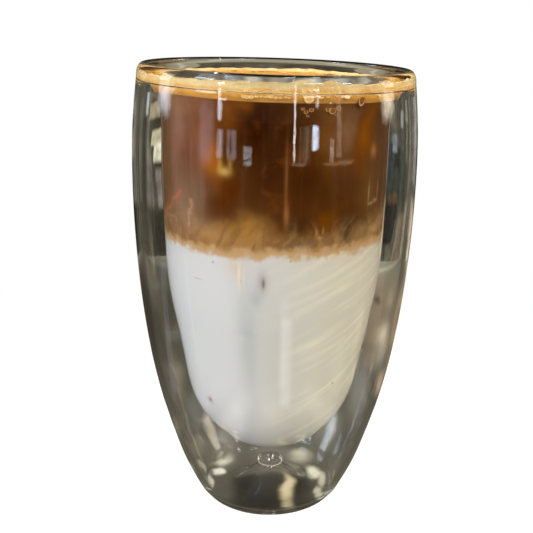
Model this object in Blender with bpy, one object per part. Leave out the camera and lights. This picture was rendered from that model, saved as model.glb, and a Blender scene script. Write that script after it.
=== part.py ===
"""Latte in a tall double-walled glass.

The glass is one turned body: a rounded outer shell and a narrower inner cup that meet in a thick
rounded rim, with an air space between them. The air space ends at a small vent in the raised middle
of the base, and a seal closes the vent. The drink lies in three layers: milk, coffee and foam.

Metres, +Z up. The origin is on the surface that the glass stands on, below the middle of its base.
Direction 0 is -Y, the side that is looked at, and directions grow towards +X.
"""

import math

import bmesh
import bpy
import numpy as np

# The glass
HEIGHT = 0.145
SHELL_WALL = 0.0020
CUP_WALL = 0.0017
# Outside of the shell: radius and height, from under the rim to above the foot
SHELL_OUTSIDE = (
    (0.04295, 0.1412),
    (0.04420, 0.1290),
    (0.04480, 0.1110),
    (0.04385, 0.0845),
    (0.04125, 0.0600),
    (0.03745, 0.0400),
    (0.03340, 0.0258),
    (0.02935, 0.0140),
    (0.02457, 0.0040),
)
# Inside of the cup, where the drink touches it: radius and height, from the floor to the rim
CUP_INSIDE = (
    (0.0, 0.0204),
    (0.0120, 0.0232),
    (0.0200, 0.0300),
    (0.0247, 0.0380),
    (0.0284, 0.0540),
    (0.0325, 0.0780),
    (0.0338, 0.1000),
    (0.0341, 0.1200),
    (0.0349, 0.1330),
    (0.03655, 0.1378),
    (0.0380, 0.1412),
    (0.0393, 0.1430),
    (0.0402, 0.1442),
)
# The cup's wall is thinner under the rim: its thickness there, and the heights between which it thins
CUP_RIM_WALL = 0.0013
THINNING = (0.1280, 0.1415)
RIM_CREST_RADIUS = 0.0410
FOOT_RADIUS = 0.0192
FOOT_EDGE_ROUNDING = 0.00455
FOOT_EDGE_START = -39
BASE_WALL = 0.0023
PUNT_RADIUS = 0.0155
PUNT_HEIGHT = 0.0075
SPACE_FLOOR_RADIUS = 0.0195
SPACE_CORNER = (0.0225, 0.0036)
SPACE_CORNER_TOP = 0.0062
SPACE_TOP_DEPTH = 0.0050
SPACE_TOP_RISE = 0.0004
ROUND_BOTTOM_TOP = 0.045
FLARE_START = 0.125
VENT_RADIUS = 0.0016

# The vent's seal
SEAL_HEAD_RADIUS = 0.0042
SEAL_HEAD_HEIGHT = 0.0017
SEAL_STEM_START = 0.0004

# The drink
MILK_LEVEL = 0.0944
MILK_TILT = 0.0019
MILK_WAVE = 0.0007
FOAM_UNDERSIDE = 0.1375
FOAM_UNDERSIDE_WAVE = 0.0004
FOAM_LEVEL = 0.1402
FOAM_CLING = 0.0012
CLING_POWER = 26
# Where the foam stands up the wall: direction in degrees, extra height, and half width in degrees
FOAM_PEAKS = ((-4, 0.0010, 52), (10, 0.0008, 4), (21, 0.0008, 4), (66, 0.0003, 14), (165, 0.0004, 9))
BUBBLE_COUNT = 15
BUBBLE_SEED = 7
BUBBLE_RADII = (0.0010, 0.0019)
BUBBLE_RING = 0.0356
BUBBLE_RISE = 0.25
BUBBLE_SIDES = 8

# Space left between pieces that touch
GAP = 0.0003

# Directions round the axis, and edges that stay sharp between faces, in degrees
SIDES = 40
TURNS = 2 * math.pi * np.arange(SIDES) / SIDES
SHARP_ANGLE = 35
# Points along a curve before it is thinned, and then along each stretch of an outline. A cup line has
# points at its round bottom, along its middle and below the rim.
FINE = 400
CUP_POINTS = (8, 5, 8)
RIM_INSIDE_POINTS = 4
RIM_OUTSIDE_POINTS = 5
SHELL_POINTS = 13
FOOT_POINTS = 4
UNDERSIDE_POINTS = 7
FLOOR_POINTS = 6
CORNER_POINTS = 4
SPACE_OUTSIDE_POINTS = 11
SPACE_TOP_POINTS = 5
SPACE_INSIDE_POINTS = (8, 5, 7)
COFFEE_SIDE_POINTS = 8
FOAM_SIDE_POINTS = 3
SEAL_HEAD_POINTS = 5
# Shares of a layer's radius where its surface has rings of points
LAYER_RINGS = (0.35, 0.65, 0.85, 0.93, 1.0)


def clear_scene():
    for thing in list(bpy.data.objects):
        bpy.data.objects.remove(thing, do_unlink=True)


def finish(name, colour, roughness, metallic=0.0, transmission=0.0):
    """A plain material for one sub-part."""
    material = bpy.data.materials.new(name)
    material.use_nodes = True
    shader = material.node_tree.nodes["Principled BSDF"]
    shader.inputs["Base Color"].default_value = (*colour, 1.0)
    shader.inputs["Roughness"].default_value = roughness
    shader.inputs["Metallic"].default_value = metallic
    shader.inputs["Transmission Weight"].default_value = transmission
    return material


def along(line, count):
    """A line's points again, count of them, spread evenly over its length."""
    steps = np.linalg.norm(np.diff(line, axis=0), axis=1)
    length = np.concatenate([[0.0], np.cumsum(steps)])
    places = np.linspace(0.0, length[-1], count)
    return np.stack([np.interp(places, length, line[:, k]) for k in range(2)], axis=1)


def smooth(points, count=FINE):
    """The natural cubic curve through the points."""
    points = np.asarray(points, float)
    steps = np.linalg.norm(np.diff(points, axis=0), axis=1)
    knots = np.concatenate([[0.0], np.cumsum(steps)])
    system = np.eye(len(points))
    slopes = np.zeros_like(points)
    for i in range(1, len(points) - 1):
        before, after = steps[i - 1], steps[i]
        system[i, i - 1 : i + 2] = before, 2 * (before + after), after
        rise = (points[i + 1] - points[i]) / after - (points[i] - points[i - 1]) / before
        slopes[i] = 6 * rise
    bends = np.linalg.solve(system, slopes)
    places = np.linspace(0.0, knots[-1], count)
    span = np.clip(np.searchsorted(knots, places) - 1, 0, len(steps) - 1)
    width = steps[span][:, None]
    left = (knots[span + 1] - places)[:, None] / width
    right = 1.0 - left
    curve = left * points[span] + right * points[span + 1]
    pull = (left**3 - left) * bends[span] + (right**3 - right) * bends[span + 1]
    return along(curve + pull * width**2 / 6, count)


def beside(line, distance):
    """A line moved sideways, to the right of the way it runs."""
    ahead = np.gradient(line, axis=0)
    ahead /= np.linalg.norm(ahead, axis=1)[:, None]
    return line + distance * np.stack([ahead[:, 1], -ahead[:, 0]], axis=1)


def arc(centre, radii, start, end, count):
    """Points on an ellipse about centre, between two angles in degrees from +X."""
    turn = np.radians(np.linspace(start, end, count))
    return np.stack([centre[0] + radii[0] * np.cos(turn), centre[1] + radii[1] * np.sin(turn)], axis=1)


def cup_inside():
    """The cup's inner face from the middle of its floor to the rim, level where it crosses the axis."""
    mirrored = [(-r, z) for r, z in CUP_INSIDE[:0:-1]]
    whole = smooth(mirrored + list(CUP_INSIDE), 2 * FINE + 1)
    half = whole[FINE:]
    half[0, 0] = 0.0
    return half


def cup_outside():
    """The cup's outer face, towards the air space."""
    inside = cup_inside()
    share = np.clip((inside[:, 1] - THINNING[0]) / (THINNING[1] - THINNING[0]), 0, 1)
    wall = CUP_WALL - (CUP_WALL - CUP_RIM_WALL) * share**2 * (3 - 2 * share)
    outside = beside(inside, wall[:, None])
    outside[0, 0] = 0.0
    return outside


def space_top(start, end, count):
    """The low arch between the two sides of the air space, without its ends."""
    turn = np.linspace(0, np.pi, count)
    points = start + (end - start) * (1 - np.cos(turn))[:, None] / 2
    points[:, 1] += SPACE_TOP_RISE * np.sin(turn)
    return points[1:-1]


def punt(radius, height, width):
    """Heights of the raised middle of the base, at the given radii."""
    return height * 0.5 * (1 + np.cos(np.pi * np.clip(np.asarray(radius) / width, 0, 1)))


def space_floor(radius):
    """Height of the air space's floor at a radius."""
    return BASE_WALL + punt(radius, PUNT_HEIGHT, PUNT_RADIUS + BASE_WALL / 2)


def by_bend(line, low_count, middle_count, high_count):
    """A cup line's points, closer together at its round bottom and below the rim, where it bends."""
    low = line[line[:, 1] < ROUND_BOTTOM_TOP]
    middle = line[(line[:, 1] >= ROUND_BOTTOM_TOP) & (line[:, 1] < FLARE_START)]
    high = line[line[:, 1] >= FLARE_START]
    stretches = [along(low, low_count), along(middle, middle_count)[1:], along(high, high_count)[1:]]
    return np.concatenate(stretches)


def cup_line():
    """The cup's inner face as the solid has it."""
    return by_bend(cup_inside(), *CUP_POINTS)


def glass_outline():
    """The glass's section from the middle of the cup's floor, over the rim, round the outside and the
    base to the vent, and back through the air space to the middle of the cup's underside."""
    cup = cup_line()
    crest = np.array([RIM_CREST_RADIUS, HEIGHT])
    inner_drop = crest - cup[-1]
    outer_drop = np.array([SHELL_OUTSIDE[0][0] - crest[0], HEIGHT - SHELL_OUTSIDE[0][1]])
    rim_inside = arc((crest[0], cup[-1][1]), inner_drop, 180, 90, RIM_INSIDE_POINTS)[1:]
    rim_outside = arc((crest[0], SHELL_OUTSIDE[0][1]), outer_drop, 90, 0, RIM_OUTSIDE_POINTS)[1:-1]
    shell = smooth(SHELL_OUTSIDE)
    foot_centre = (FOOT_RADIUS, FOOT_EDGE_ROUNDING)
    foot = arc(foot_centre, (FOOT_EDGE_ROUNDING,) * 2, FOOT_EDGE_START, -90, FOOT_POINTS)
    punt_radii = np.linspace(PUNT_RADIUS, VENT_RADIUS, UNDERSIDE_POINTS)
    underside = np.stack([punt_radii, punt(punt_radii, PUNT_HEIGHT, PUNT_RADIUS)], axis=1)
    floor_radii = np.linspace(VENT_RADIUS, PUNT_RADIUS + BASE_WALL / 2, FLOOR_POINTS)
    floor = np.stack([floor_radii, space_floor(floor_radii)], axis=1)
    space_end = HEIGHT - SPACE_TOP_DEPTH
    space_outside = beside(shell, SHELL_WALL)[::-1]
    in_space = (space_outside[:, 1] > SPACE_CORNER_TOP) & (space_outside[:, 1] < space_end)
    space_outside = space_outside[in_space]
    corner = smooth([(SPACE_FLOOR_RADIUS, BASE_WALL), SPACE_CORNER, space_outside[0]], CORNER_POINTS)
    space_inside = cup_outside()
    space_inside = space_inside[space_inside[:, 1] < space_end]
    return np.concatenate(
        [
            cup,
            rim_inside,
            rim_outside,
            along(shell, SHELL_POINTS),
            foot,
            underside,
            floor,
            corner,
            along(space_outside, SPACE_OUTSIDE_POINTS)[1:],
            space_top(space_outside[-1], space_inside[-1], SPACE_TOP_POINTS),
            by_bend(space_inside, *SPACE_INSIDE_POINTS)[::-1],
        ]
    )


def build_glass():
    """Turns the glass's section about the axis."""
    outline = glass_outline()
    mesh = bpy.data.meshes.new("glass")
    edges = [(i, i + 1) for i in range(len(outline) - 1)]
    mesh.from_pydata([(r, 0.0, z) for r, z in outline], edges, [])
    glass = bpy.data.objects.new("glass", mesh)
    bpy.context.scene.collection.objects.link(glass)
    turn = glass.modifiers.new("turn", "SCREW")
    turn.axis = "Z"
    turn.angle = 2 * math.pi
    turn.steps = SIDES
    turn.render_steps = SIDES
    turn.use_merge_vertices = True
    turn.merge_threshold = 0.00001
    turn.use_smooth_shade = True
    mesh.materials.append(finish("clear glass", (0.95, 0.97, 0.96), 0.02, transmission=1.0))
    return glass


def place(direction, radius, height):
    """The point at a direction, a radius and a height."""
    return (radius * math.sin(direction), -radius * math.cos(direction), height)


def turned_body(name, outline_at, material):
    """A closed body from an outline for each direction. Each outline starts and ends on the axis."""
    builder = bmesh.new()
    outlines = [outline_at(direction) for direction in TURNS]
    top = builder.verts.new((0.0, 0.0, outlines[0][0][1]))
    bottom = builder.verts.new((0.0, 0.0, outlines[0][-1][1]))
    rows = []
    for direction, outline in zip(TURNS, outlines):
        rows.append([builder.verts.new(place(direction, r, z)) for r, z in outline[1:-1]])
    for row, following in zip(rows, rows[1:] + rows[:1]):
        builder.faces.new((top, row[0], following[0]))
        builder.faces.new((bottom, following[-1], row[-1]))
        for k in range(len(row) - 1):
            builder.faces.new((row[k], row[k + 1], following[k + 1], following[k]))
    bmesh.ops.recalc_face_normals(builder, faces=builder.faces)
    mesh = bpy.data.meshes.new(name)
    builder.to_mesh(mesh)
    builder.free()
    mesh.shade_smooth()
    mesh.set_sharp_from_angle(angle=math.radians(SHARP_ANGLE))
    mesh.materials.append(material)
    body = bpy.data.objects.new(name, mesh)
    bpy.context.scene.collection.objects.link(body)
    return body


def wave(direction, share):
    """A gentle unevenness between about -1 and 1 that dies out at the axis, where share is 0."""
    bumps = 0.6 * math.sin(3 * direction + 1.1) + 0.4 * math.sin(5 * direction + 2.6)
    return bumps * share


def milk_top(direction, share):
    """Height of the milk's uneven surface at a direction and a share of the cup's radius."""
    slope = MILK_TILT * math.sin(direction) * share
    return MILK_LEVEL + slope + MILK_WAVE * wave(direction + share, share**2)


def coffee_top(direction, share):
    return FOAM_UNDERSIDE + FOAM_UNDERSIDE_WAVE * wave(direction + 0.7, share)


def foam_top(direction, share):
    """The foam is level, and climbs the wall in a thin edge with a few peaks."""
    edge = FOAM_CLING
    for degrees, height, half_width in FOAM_PEAKS:
        away = math.remainder(direction - math.radians(degrees), 2 * math.pi)
        edge += height * math.exp(-((away / math.radians(half_width)) ** 2))
    return FOAM_LEVEL + edge * share**CLING_POWER


def drink_radius(height):
    """How far out the drink goes at a height: a gap short of the cup's inner face."""
    face = beside(cup_line(), -GAP)
    return float(np.interp(height, face[:, 1], face[:, 0]))


def surface(top, direction, offset=0.0):
    """A layer's surface from the axis to the wall, as radius and height."""
    edge_height = top(direction, 1.0) + offset
    edge = drink_radius(edge_height)
    points = [(0.0, top(direction, 0.0) + offset)]
    for share in LAYER_RINGS:
        points.append((edge * share, top(direction, share) + offset))
    return points


def wall(low, high, count):
    """Points down the drink's side, between two heights and without them."""
    heights = np.linspace(high, low, count + 2)[1:-1]
    return [(drink_radius(height), height) for height in heights]


def layer(name, top, under, count, material):
    """A layer of the drink, between two surfaces, with count points down its side."""

    def outline(direction):
        upper = surface(top, direction)
        lower = surface(under, direction, GAP)
        return upper + wall(lower[-1][1], upper[-1][1], count) + lower[::-1]

    return turned_body(name, outline, material)


def build_milk():
    """The lowest layer fills the round bottom of the cup."""
    face = beside(cup_line(), -GAP)
    face[0, 0] = 0.0
    below = face[face[:, 1] < MILK_LEVEL - 4 * MILK_TILT]

    def outline(direction):
        return surface(milk_top, direction) + [tuple(point) for point in below[::-1]]

    return turned_body("milk", outline, finish("milk", (0.78, 0.76, 0.72), 0.35))


def build_coffee():
    material = finish("coffee", (0.17, 0.07, 0.02), 0.25)
    return layer("coffee", coffee_top, milk_top, COFFEE_SIDE_POINTS, material)


def build_foam():
    """The top layer, with bubbles joined to it where it meets the wall."""
    material = finish("foam", (0.72, 0.50, 0.27), 0.6)
    foam = layer("foam", foam_top, coffee_top, FOAM_SIDE_POINTS, material)
    bubbles = bpy.data.collections.new("bubbles")
    draw = np.random.default_rng(BUBBLE_SEED)
    for index in range(BUBBLE_COUNT):
        direction = 2 * math.pi * (index + draw.uniform(-0.3, 0.3)) / BUBBLE_COUNT
        radius = draw.uniform(*BUBBLE_RADII)
        share = BUBBLE_RING / drink_radius(foam_top(direction, 1.0))
        height = foam_top(direction, share) - radius * BUBBLE_RISE
        mesh = bpy.data.meshes.new("bubble")
        builder = bmesh.new()
        bmesh.ops.create_uvsphere(
            builder, u_segments=BUBBLE_SIDES, v_segments=BUBBLE_SIDES - 2, radius=radius
        )
        builder.to_mesh(mesh)
        builder.free()
        bubble = bpy.data.objects.new("bubble", mesh)
        bubble.location = place(direction, BUBBLE_RING - radius, height)
        bubbles.objects.link(bubble)
    join(foam, bubbles)
    foam.data.materials.clear()
    foam.data.materials.append(material)
    return foam


def join(body, pieces):
    """Unites a body with every object of a collection, then removes those objects."""
    bpy.context.scene.collection.children.link(pieces)
    union = body.modifiers.new("join", "BOOLEAN")
    union.operation = "UNION"
    union.operand_type = "COLLECTION"
    union.collection = pieces
    bpy.context.view_layer.update()
    evaluated = body.evaluated_get(bpy.context.evaluated_depsgraph_get())
    joined = bpy.data.meshes.new_from_object(evaluated)
    body.modifiers.clear()
    body.data = joined
    for piece in list(pieces.objects):
        bpy.data.objects.remove(piece, do_unlink=True)
    bpy.data.collections.remove(pieces)


def build_seal():
    """A small stopper: a stem in the vent, and a domed head on the floor of the air space."""
    head_base = float(space_floor(0.0)) + GAP
    stem = VENT_RADIUS - GAP
    head = arc((0.0, head_base), (SEAL_HEAD_RADIUS, SEAL_HEAD_HEIGHT), 90, 0, SEAL_HEAD_POINTS)
    head[0, 0] = 0.0
    stem_end = PUNT_HEIGHT + SEAL_STEM_START
    lower = [(stem, head_base), (stem, stem_end), (0.0, stem_end)]
    outline = [tuple(point) for point in head] + lower
    return turned_body("vent_seal", lambda direction: outline, finish("seal", (0.72, 0.73, 0.72), 0.3))


def main():
    clear_scene()
    build_glass()
    build_seal()
    build_milk()
    build_coffee()
    build_foam()


main()
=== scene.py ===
"""The looks of a latte in a tall double-walled glass.

Each piece repeats the outline of the solid that it stands for, in fine steps, and adds what is too
fine for the solid: the waviness of blown glass, the bubbles in the foam, the coffee that ran down
the wall and the specks in the milk.

Metres, +Z up. A direction is an angle round the axis: 0 is -Y, the side that the camera looks at,
and directions grow towards +X. Materials read directions in degrees and heights in millimetres.
"""

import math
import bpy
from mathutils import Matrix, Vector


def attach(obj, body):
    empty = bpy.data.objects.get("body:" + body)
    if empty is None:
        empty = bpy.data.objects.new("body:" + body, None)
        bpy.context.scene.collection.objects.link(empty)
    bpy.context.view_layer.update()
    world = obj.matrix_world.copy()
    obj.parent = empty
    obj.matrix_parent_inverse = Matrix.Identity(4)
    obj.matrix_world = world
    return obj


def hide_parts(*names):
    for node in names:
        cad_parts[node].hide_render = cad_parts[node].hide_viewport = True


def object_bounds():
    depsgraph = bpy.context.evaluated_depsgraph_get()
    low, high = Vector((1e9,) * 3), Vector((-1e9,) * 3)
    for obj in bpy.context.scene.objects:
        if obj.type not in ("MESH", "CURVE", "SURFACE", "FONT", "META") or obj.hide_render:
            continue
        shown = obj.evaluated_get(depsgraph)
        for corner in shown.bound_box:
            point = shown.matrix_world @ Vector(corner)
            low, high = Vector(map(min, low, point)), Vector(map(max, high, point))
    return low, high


bl_info = {
    "name": "Latte in a Double-Walled Glass",
    "version": (1, 0, 0),
    "blender": (4, 5, 0),
    "location": "View3D > Sidebar > Latte",
    "description": "Builds a layered latte in a tall double-walled glass, and a stage for it",
    "category": "Add Mesh",
}

import bpy
import numpy as np
from bpy.props import FloatProperty, FloatVectorProperty, IntProperty, PointerProperty
from mathutils import Matrix, Vector

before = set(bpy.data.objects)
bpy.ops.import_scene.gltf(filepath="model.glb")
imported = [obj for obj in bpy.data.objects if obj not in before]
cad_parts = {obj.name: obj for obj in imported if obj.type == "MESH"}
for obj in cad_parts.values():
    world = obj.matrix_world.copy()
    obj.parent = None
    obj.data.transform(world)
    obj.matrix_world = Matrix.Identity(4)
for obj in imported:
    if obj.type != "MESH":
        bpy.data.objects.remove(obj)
solids_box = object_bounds()

# The glass, as its solid has it
HEIGHT = solids_box[1].z
SHELL_WALL = 0.0020
CUP_WALL = 0.0017
# Outside of the shell: radius and height, from under the rim to above the foot
SHELL_OUTSIDE = (
    (0.04295, 0.1412),
    (0.04420, 0.1290),
    (0.04480, 0.1110),
    (0.04385, 0.0845),
    (0.04125, 0.0600),
    (0.03745, 0.0400),
    (0.03340, 0.0258),
    (0.02935, 0.0140),
    (0.02457, 0.0040),
)
# Inside of the cup, where the drink touches it: radius and height, from the floor to the rim
CUP_INSIDE = (
    (0.0, 0.0204),
    (0.0120, 0.0232),
    (0.0200, 0.0300),
    (0.0247, 0.0380),
    (0.0284, 0.0540),
    (0.0325, 0.0780),
    (0.0338, 0.1000),
    (0.0341, 0.1200),
    (0.0349, 0.1330),
    (0.03655, 0.1378),
    (0.0380, 0.1412),
    (0.0393, 0.1430),
    (0.0402, 0.1442),
)
# The cup's wall is thinner under the rim: its thickness there, and the heights between which it thins
CUP_RIM_WALL = 0.0013
THINNING = (0.1280, 0.1415)
RIM_CREST_RADIUS = 0.0410
FOOT_RADIUS = 0.0192
FOOT_EDGE_ROUNDING = 0.00455
FOOT_EDGE_START = -39
BASE_WALL = 0.0023
PUNT_RADIUS = 0.0155
PUNT_HEIGHT = 0.0075
SPACE_FLOOR_RADIUS = 0.0195
SPACE_CORNER = (0.0225, 0.0036)
SPACE_CORNER_TOP = 0.0062
SPACE_TOP_DEPTH = 0.0050
SPACE_TOP_RISE = 0.0004
ROUND_BOTTOM_TOP = 0.045
FLARE_START = 0.125
VENT_RADIUS = 0.0016

# The vent's seal
SEAL_HEAD_RADIUS = 0.0042
SEAL_HEAD_HEIGHT = 0.0017
SEAL_STEM_START = 0.0004
SEAL_GAP = 0.0003
SEAL_EDGE = 0.00018

# The drink, as its solids have it
MILK_LEVEL = 0.0944
MILK_TILT = 0.0019
MILK_WAVE = 0.0007
FOAM_UNDERSIDE = 0.1375
FOAM_UNDERSIDE_WAVE = 0.0004
FOAM_LEVEL = 0.1402
FOAM_CLING = 0.0012
CLING_POWER = 26
# Where the foam stands up the wall: direction in degrees, extra height, and half width in degrees
FOAM_PEAKS = ((-4, 0.0010, 52), (10, 0.0008, 4), (21, 0.0008, 4), (66, 0.0003, 14), (165, 0.0004, 9))

# How far the drink reaches into the cup's wall, so that no air shows between them
REACH = 0.00015

# Directions round the axis
SIDES = 240
TURNS = 2 * np.pi * np.arange(SIDES) / SIDES
# Points along a curve before it is thinned, and then along each stretch of an outline. A cup line has
# points at its round bottom, along its middle and below the rim.
FINE = 600
CUP_POINTS = (26, 20, 28)
RIM_INSIDE_POINTS = 10
RIM_OUTSIDE_POINTS = 14
SHELL_POINTS = 84
FOOT_POINTS = 10
UNDERSIDE_POINTS = 20
FLOOR_POINTS = 18
CORNER_POINTS = 10
SPACE_OUTSIDE_POINTS = 56
SPACE_TOP_POINTS = 12
SPACE_INSIDE_POINTS = (22, 18, 20)
MILK_EDGE_POINTS = 10
MILK_BELOW_POINTS = 70
COFFEE_SIDE_POINTS = 40
FOAM_SIDE_POINTS = 12
SEAL_HEAD_POINTS = 16
# Shares of a layer's radius where its surface has rings of points, closer together where foam climbs
LAYER_RINGS = np.array([0.0, 0.3, 0.6, 0.8, 0.9, 0.96, 1.0])
FOAM_RINGS = np.concatenate([np.linspace(0, 0.8, 14), np.linspace(0.83, 0.95, 8), np.linspace(0.96, 1, 10)])
# Angle in degrees above which an edge between faces stays sharp
EDGE_ANGLE = 40

# The faint rings that were left where the shell was joined: height, depth and half width
JOIN_RINGS = ((0.0366, 0.00005, 0.0016), (0.0277, 0.00006, 0.0018))
# Lumps on those rings: direction in degrees, height, depth, half width in degrees, half height
JOIN_LUMPS = (
    (-91, 0.0372, 0.00065, 7, 0.0016),
    (-88, 0.0276, 0.00070, 6, 0.0017),
    (88, 0.0372, 0.00050, 5, 0.0010),
    (90, 0.0325, 0.00070, 8, 0.0026),
    (168, 0.0368, 0.00030, 9, 0.0016),
    (-150, 0.0280, 0.00034, 8, 0.0017),
)

# Bubbles against the wall at the foam's lower edge: direction in degrees, height in mm, radius in mm
LARGE_FOAM_BUBBLES = (
    (13.2, 138.9, 1.75),
    (10.6, 140.7, 0.85),
    (13.4, 140.9, 0.85),
    (15.9, 140.7, 0.75),
    (18.2, 139.5, 1.0),
    (21.3, 139.7, 0.85),
    (25.2, 139.9, 0.8),
    (30.2, 139.7, 1.35),
)
# Rows of small bubbles along the foam: first and last direction, step and unevenness in degrees, then
# height, the range that it varies in, and range of radii, in mm
FOAM_BUBBLE_ROWS = (
    (-14, 8, 1.9, 0.4, 139.1, (-0.25, 0.25), (0.5, 0.85)),
    (-12, 34, 1.7, 0.5, 140.4, (-0.45, 0.3), (0.35, 0.7)),
)
# Bubbles against the wall at the sides and behind: how many, and ranges of direction, height and radius
SCATTERED_BUBBLES = (90, (40, 340), (138.4, 141.0), (0.25, 0.9))
# Bubbles on top of the foam: radii, share of small ones, how much larger the others are, how they crowd
# to the wall, where they end, how deep they sit and how flat they are
TOP_BUBBLE_RADII = (0.00018, 0.0006)
TOP_BUBBLE_SMALL_SHARE = 0.93
TOP_BUBBLE_LARGER = 1.9
TOP_BUBBLE_CROWDING = 0.35
TOP_BUBBLE_REACH = 0.97
TOP_BUBBLE_SUNK = 0.2
TOP_BUBBLE_FLATNESS = 0.75
BUBBLE_SEED = 11
# Bubbles in the coffee just under the foam, in the same units, and a tall one that has risen higher
COFFEE_BUBBLES = (
    (24.7, 135.3, 1.3),
    (22.3, 135.7, 0.8),
    (27.3, 136.0, 0.9),
    (26.8, 134.4, 0.7),
    (14.9, 135.6, 0.8),
    (12.6, 135.0, 0.75),
    (11.0, 135.9, 0.6),
    (13.6, 133.9, 0.5),
    (38.6, 138.3, 1.45, 1.75),
)

# Tones of bubbles from the middle, at 0, to the outline, at 1: their own colours with painted light, bright
# painted rings and highlights, and dark outlines in painted shade
FOAM_BUBBLE_TONES_AND_PAINTED_LIGHT = (
    (0.0, (244, 198, 122)),
    (0.4, (232, 176, 92)),
    (0.68, (254, 228, 170)),
    (0.86, (206, 142, 62)),
    (1.0, (120, 68, 20)),
)
# Painted light: a bright painted ring and a dark outline in painted shade round the coffee's own colour
COFFEE_BUBBLE_TONES_AND_PAINTED_LIGHT = (
    (0.0, (132, 80, 34)),
    (0.5, (112, 64, 24)),
    (0.74, (214, 164, 104)),
    (0.88, (96, 50, 18)),
    (1.0, (52, 24, 6)),
)

# The camera: place, way it looks, and lens
CAMERA_PLACE = (0.0, -0.28, 0.1623)
CAMERA_DOWN = 16.26
CAMERA_TO_RIGHT = 3.53
CAMERA_ROLL = 2.12
CAMERA_LENS = 59.70
CAMERA_FILM = 36.0
CAMERA_SHIFT = -0.1119


def tone(red, green, blue):
    """A colour as seen on a screen, from 0 to 255, as the scene's linear values."""
    levels = np.array([red, green, blue]) / 255
    low = levels / 12.92
    high = ((levels + 0.055) / 1.055) ** 2.4
    return tuple(float(v) for v in np.where(levels <= 0.04045, low, high))


class LatteGlassSettings(bpy.types.PropertyGroup):
    """The double-walled glass."""

    waviness: FloatProperty(
        name="Waviness",
        description="How far the blown walls stray from a true turned shape",
        default=0.00002,
        unit="LENGTH",
    )
    tint: FloatVectorProperty(
        name="Tint", description="Colour of the glass", subtype="COLOR", default=(0.985, 0.992, 0.985)
    )
    refraction: FloatProperty(name="Refraction", description="Refractive index of the glass", default=1.47)


class LatteDrinkSettings(bpy.types.PropertyGroup):
    """The drink's colours."""

    # Painted light: the milk's white is tinted cool on the left and warm on the right, as the light falls on
    # it
    milk_in_cool_light: FloatVectorProperty(
        name="Milk in painted cool light", description="Milk on the left", subtype="COLOR", default=tone(204, 200, 199)
    )
    milk_in_warm_light: FloatVectorProperty(
        name="Milk in painted warm light", description="Milk on the right", subtype="COLOR", default=tone(201, 193, 177)
    )
    # Painted reflection: pale leaning streaks on the milk's warm right side
    milk_painted_reflection: FloatVectorProperty(
        name="Milk's painted reflection", description="Streaks in the milk", subtype="COLOR", default=tone(234, 224, 202)
    )
    coffee_brown: FloatVectorProperty(
        name="Brown coffee", description="Most of the coffee", subtype="COLOR", default=tone(80, 43, 12)
    )
    russet: FloatVectorProperty(
        name="Russet", description="Reddish brown coffee", subtype="COLOR", default=tone(124, 66, 26)
    )
    caramel: FloatVectorProperty(
        name="Caramel", description="Coffee marbled with milk", subtype="COLOR", default=tone(168, 116, 56)
    )
    cream: FloatVectorProperty(
        name="Cream", description="Edge of the milk", subtype="COLOR", default=tone(200, 162, 116)
    )
    mauve: FloatVectorProperty(
        name="Mauve", description="Greyish streaks of coffee oil", subtype="COLOR", default=tone(146, 110, 92)
    )
    crema_light: FloatVectorProperty(
        name="Light foam", description="Foam's light parts", subtype="COLOR", default=tone(255, 230, 170)
    )
    crema_dark: FloatVectorProperty(
        name="Golden foam", description="Foam's golden parts", subtype="COLOR", default=tone(234, 170, 72)
    )
    top_bubbles: IntProperty(name="Bubbles on the foam", description="How many lie on top", default=420)


class LatteStageSettings(bpy.types.PropertyGroup):
    """The floor, the light and what the glass mirrors."""

    floor: FloatVectorProperty(
        name="Floor", description="The floor's colour", subtype="COLOR", default=tone(250, 250, 249)
    )
    backdrop: FloatVectorProperty(
        name="Backdrop", description="What lies behind", subtype="COLOR", default=tone(255, 255, 255)
    )
    key_power: FloatProperty(name="Key light", description="Its power", default=6.4, unit="POWER")
    fill_power: FloatProperty(name="Fill light", description="Its power", default=4.6, unit="POWER")
    left_power: FloatProperty(name="Left light", description="Its power", default=7.5, unit="POWER")
    right_power: FloatProperty(name="Right light", description="Its power", default=9.5, unit="POWER")
    top_power: FloatProperty(name="Top light", description="Its power", default=1.2, unit="POWER")
    back_power: FloatProperty(name="Back light", description="Its power", default=4.0, unit="POWER")


def along(line, count):
    """A line's points again, count of them, spread evenly over its length."""
    steps = np.linalg.norm(np.diff(line, axis=0), axis=1)
    length = np.concatenate([[0.0], np.cumsum(steps)])
    places = np.linspace(0.0, length[-1], count)
    return np.stack([np.interp(places, length, line[:, k]) for k in range(2)], axis=1)


def smooth(points, count=FINE):
    """The natural cubic curve through the points."""
    points = np.asarray(points, float)
    steps = np.linalg.norm(np.diff(points, axis=0), axis=1)
    knots = np.concatenate([[0.0], np.cumsum(steps)])
    system = np.eye(len(points))
    slopes = np.zeros_like(points)
    for i in range(1, len(points) - 1):
        before, after = steps[i - 1], steps[i]
        system[i, i - 1 : i + 2] = before, 2 * (before + after), after
        rise = (points[i + 1] - points[i]) / after - (points[i] - points[i - 1]) / before
        slopes[i] = 6 * rise
    bends = np.linalg.solve(system, slopes)
    places = np.linspace(0.0, knots[-1], count)
    span = np.clip(np.searchsorted(knots, places) - 1, 0, len(steps) - 1)
    width = steps[span][:, None]
    left = (knots[span + 1] - places)[:, None] / width
    right = 1.0 - left
    curve = left * points[span] + right * points[span + 1]
    pull = (left**3 - left) * bends[span] + (right**3 - right) * bends[span + 1]
    return along(curve + pull * width**2 / 6, count)


def beside(line, distance):
    """A line moved sideways, to the right of the way it runs."""
    ahead = np.gradient(line, axis=0)
    ahead /= np.linalg.norm(ahead, axis=1)[:, None]
    return line + distance * np.stack([ahead[:, 1], -ahead[:, 0]], axis=1)


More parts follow.
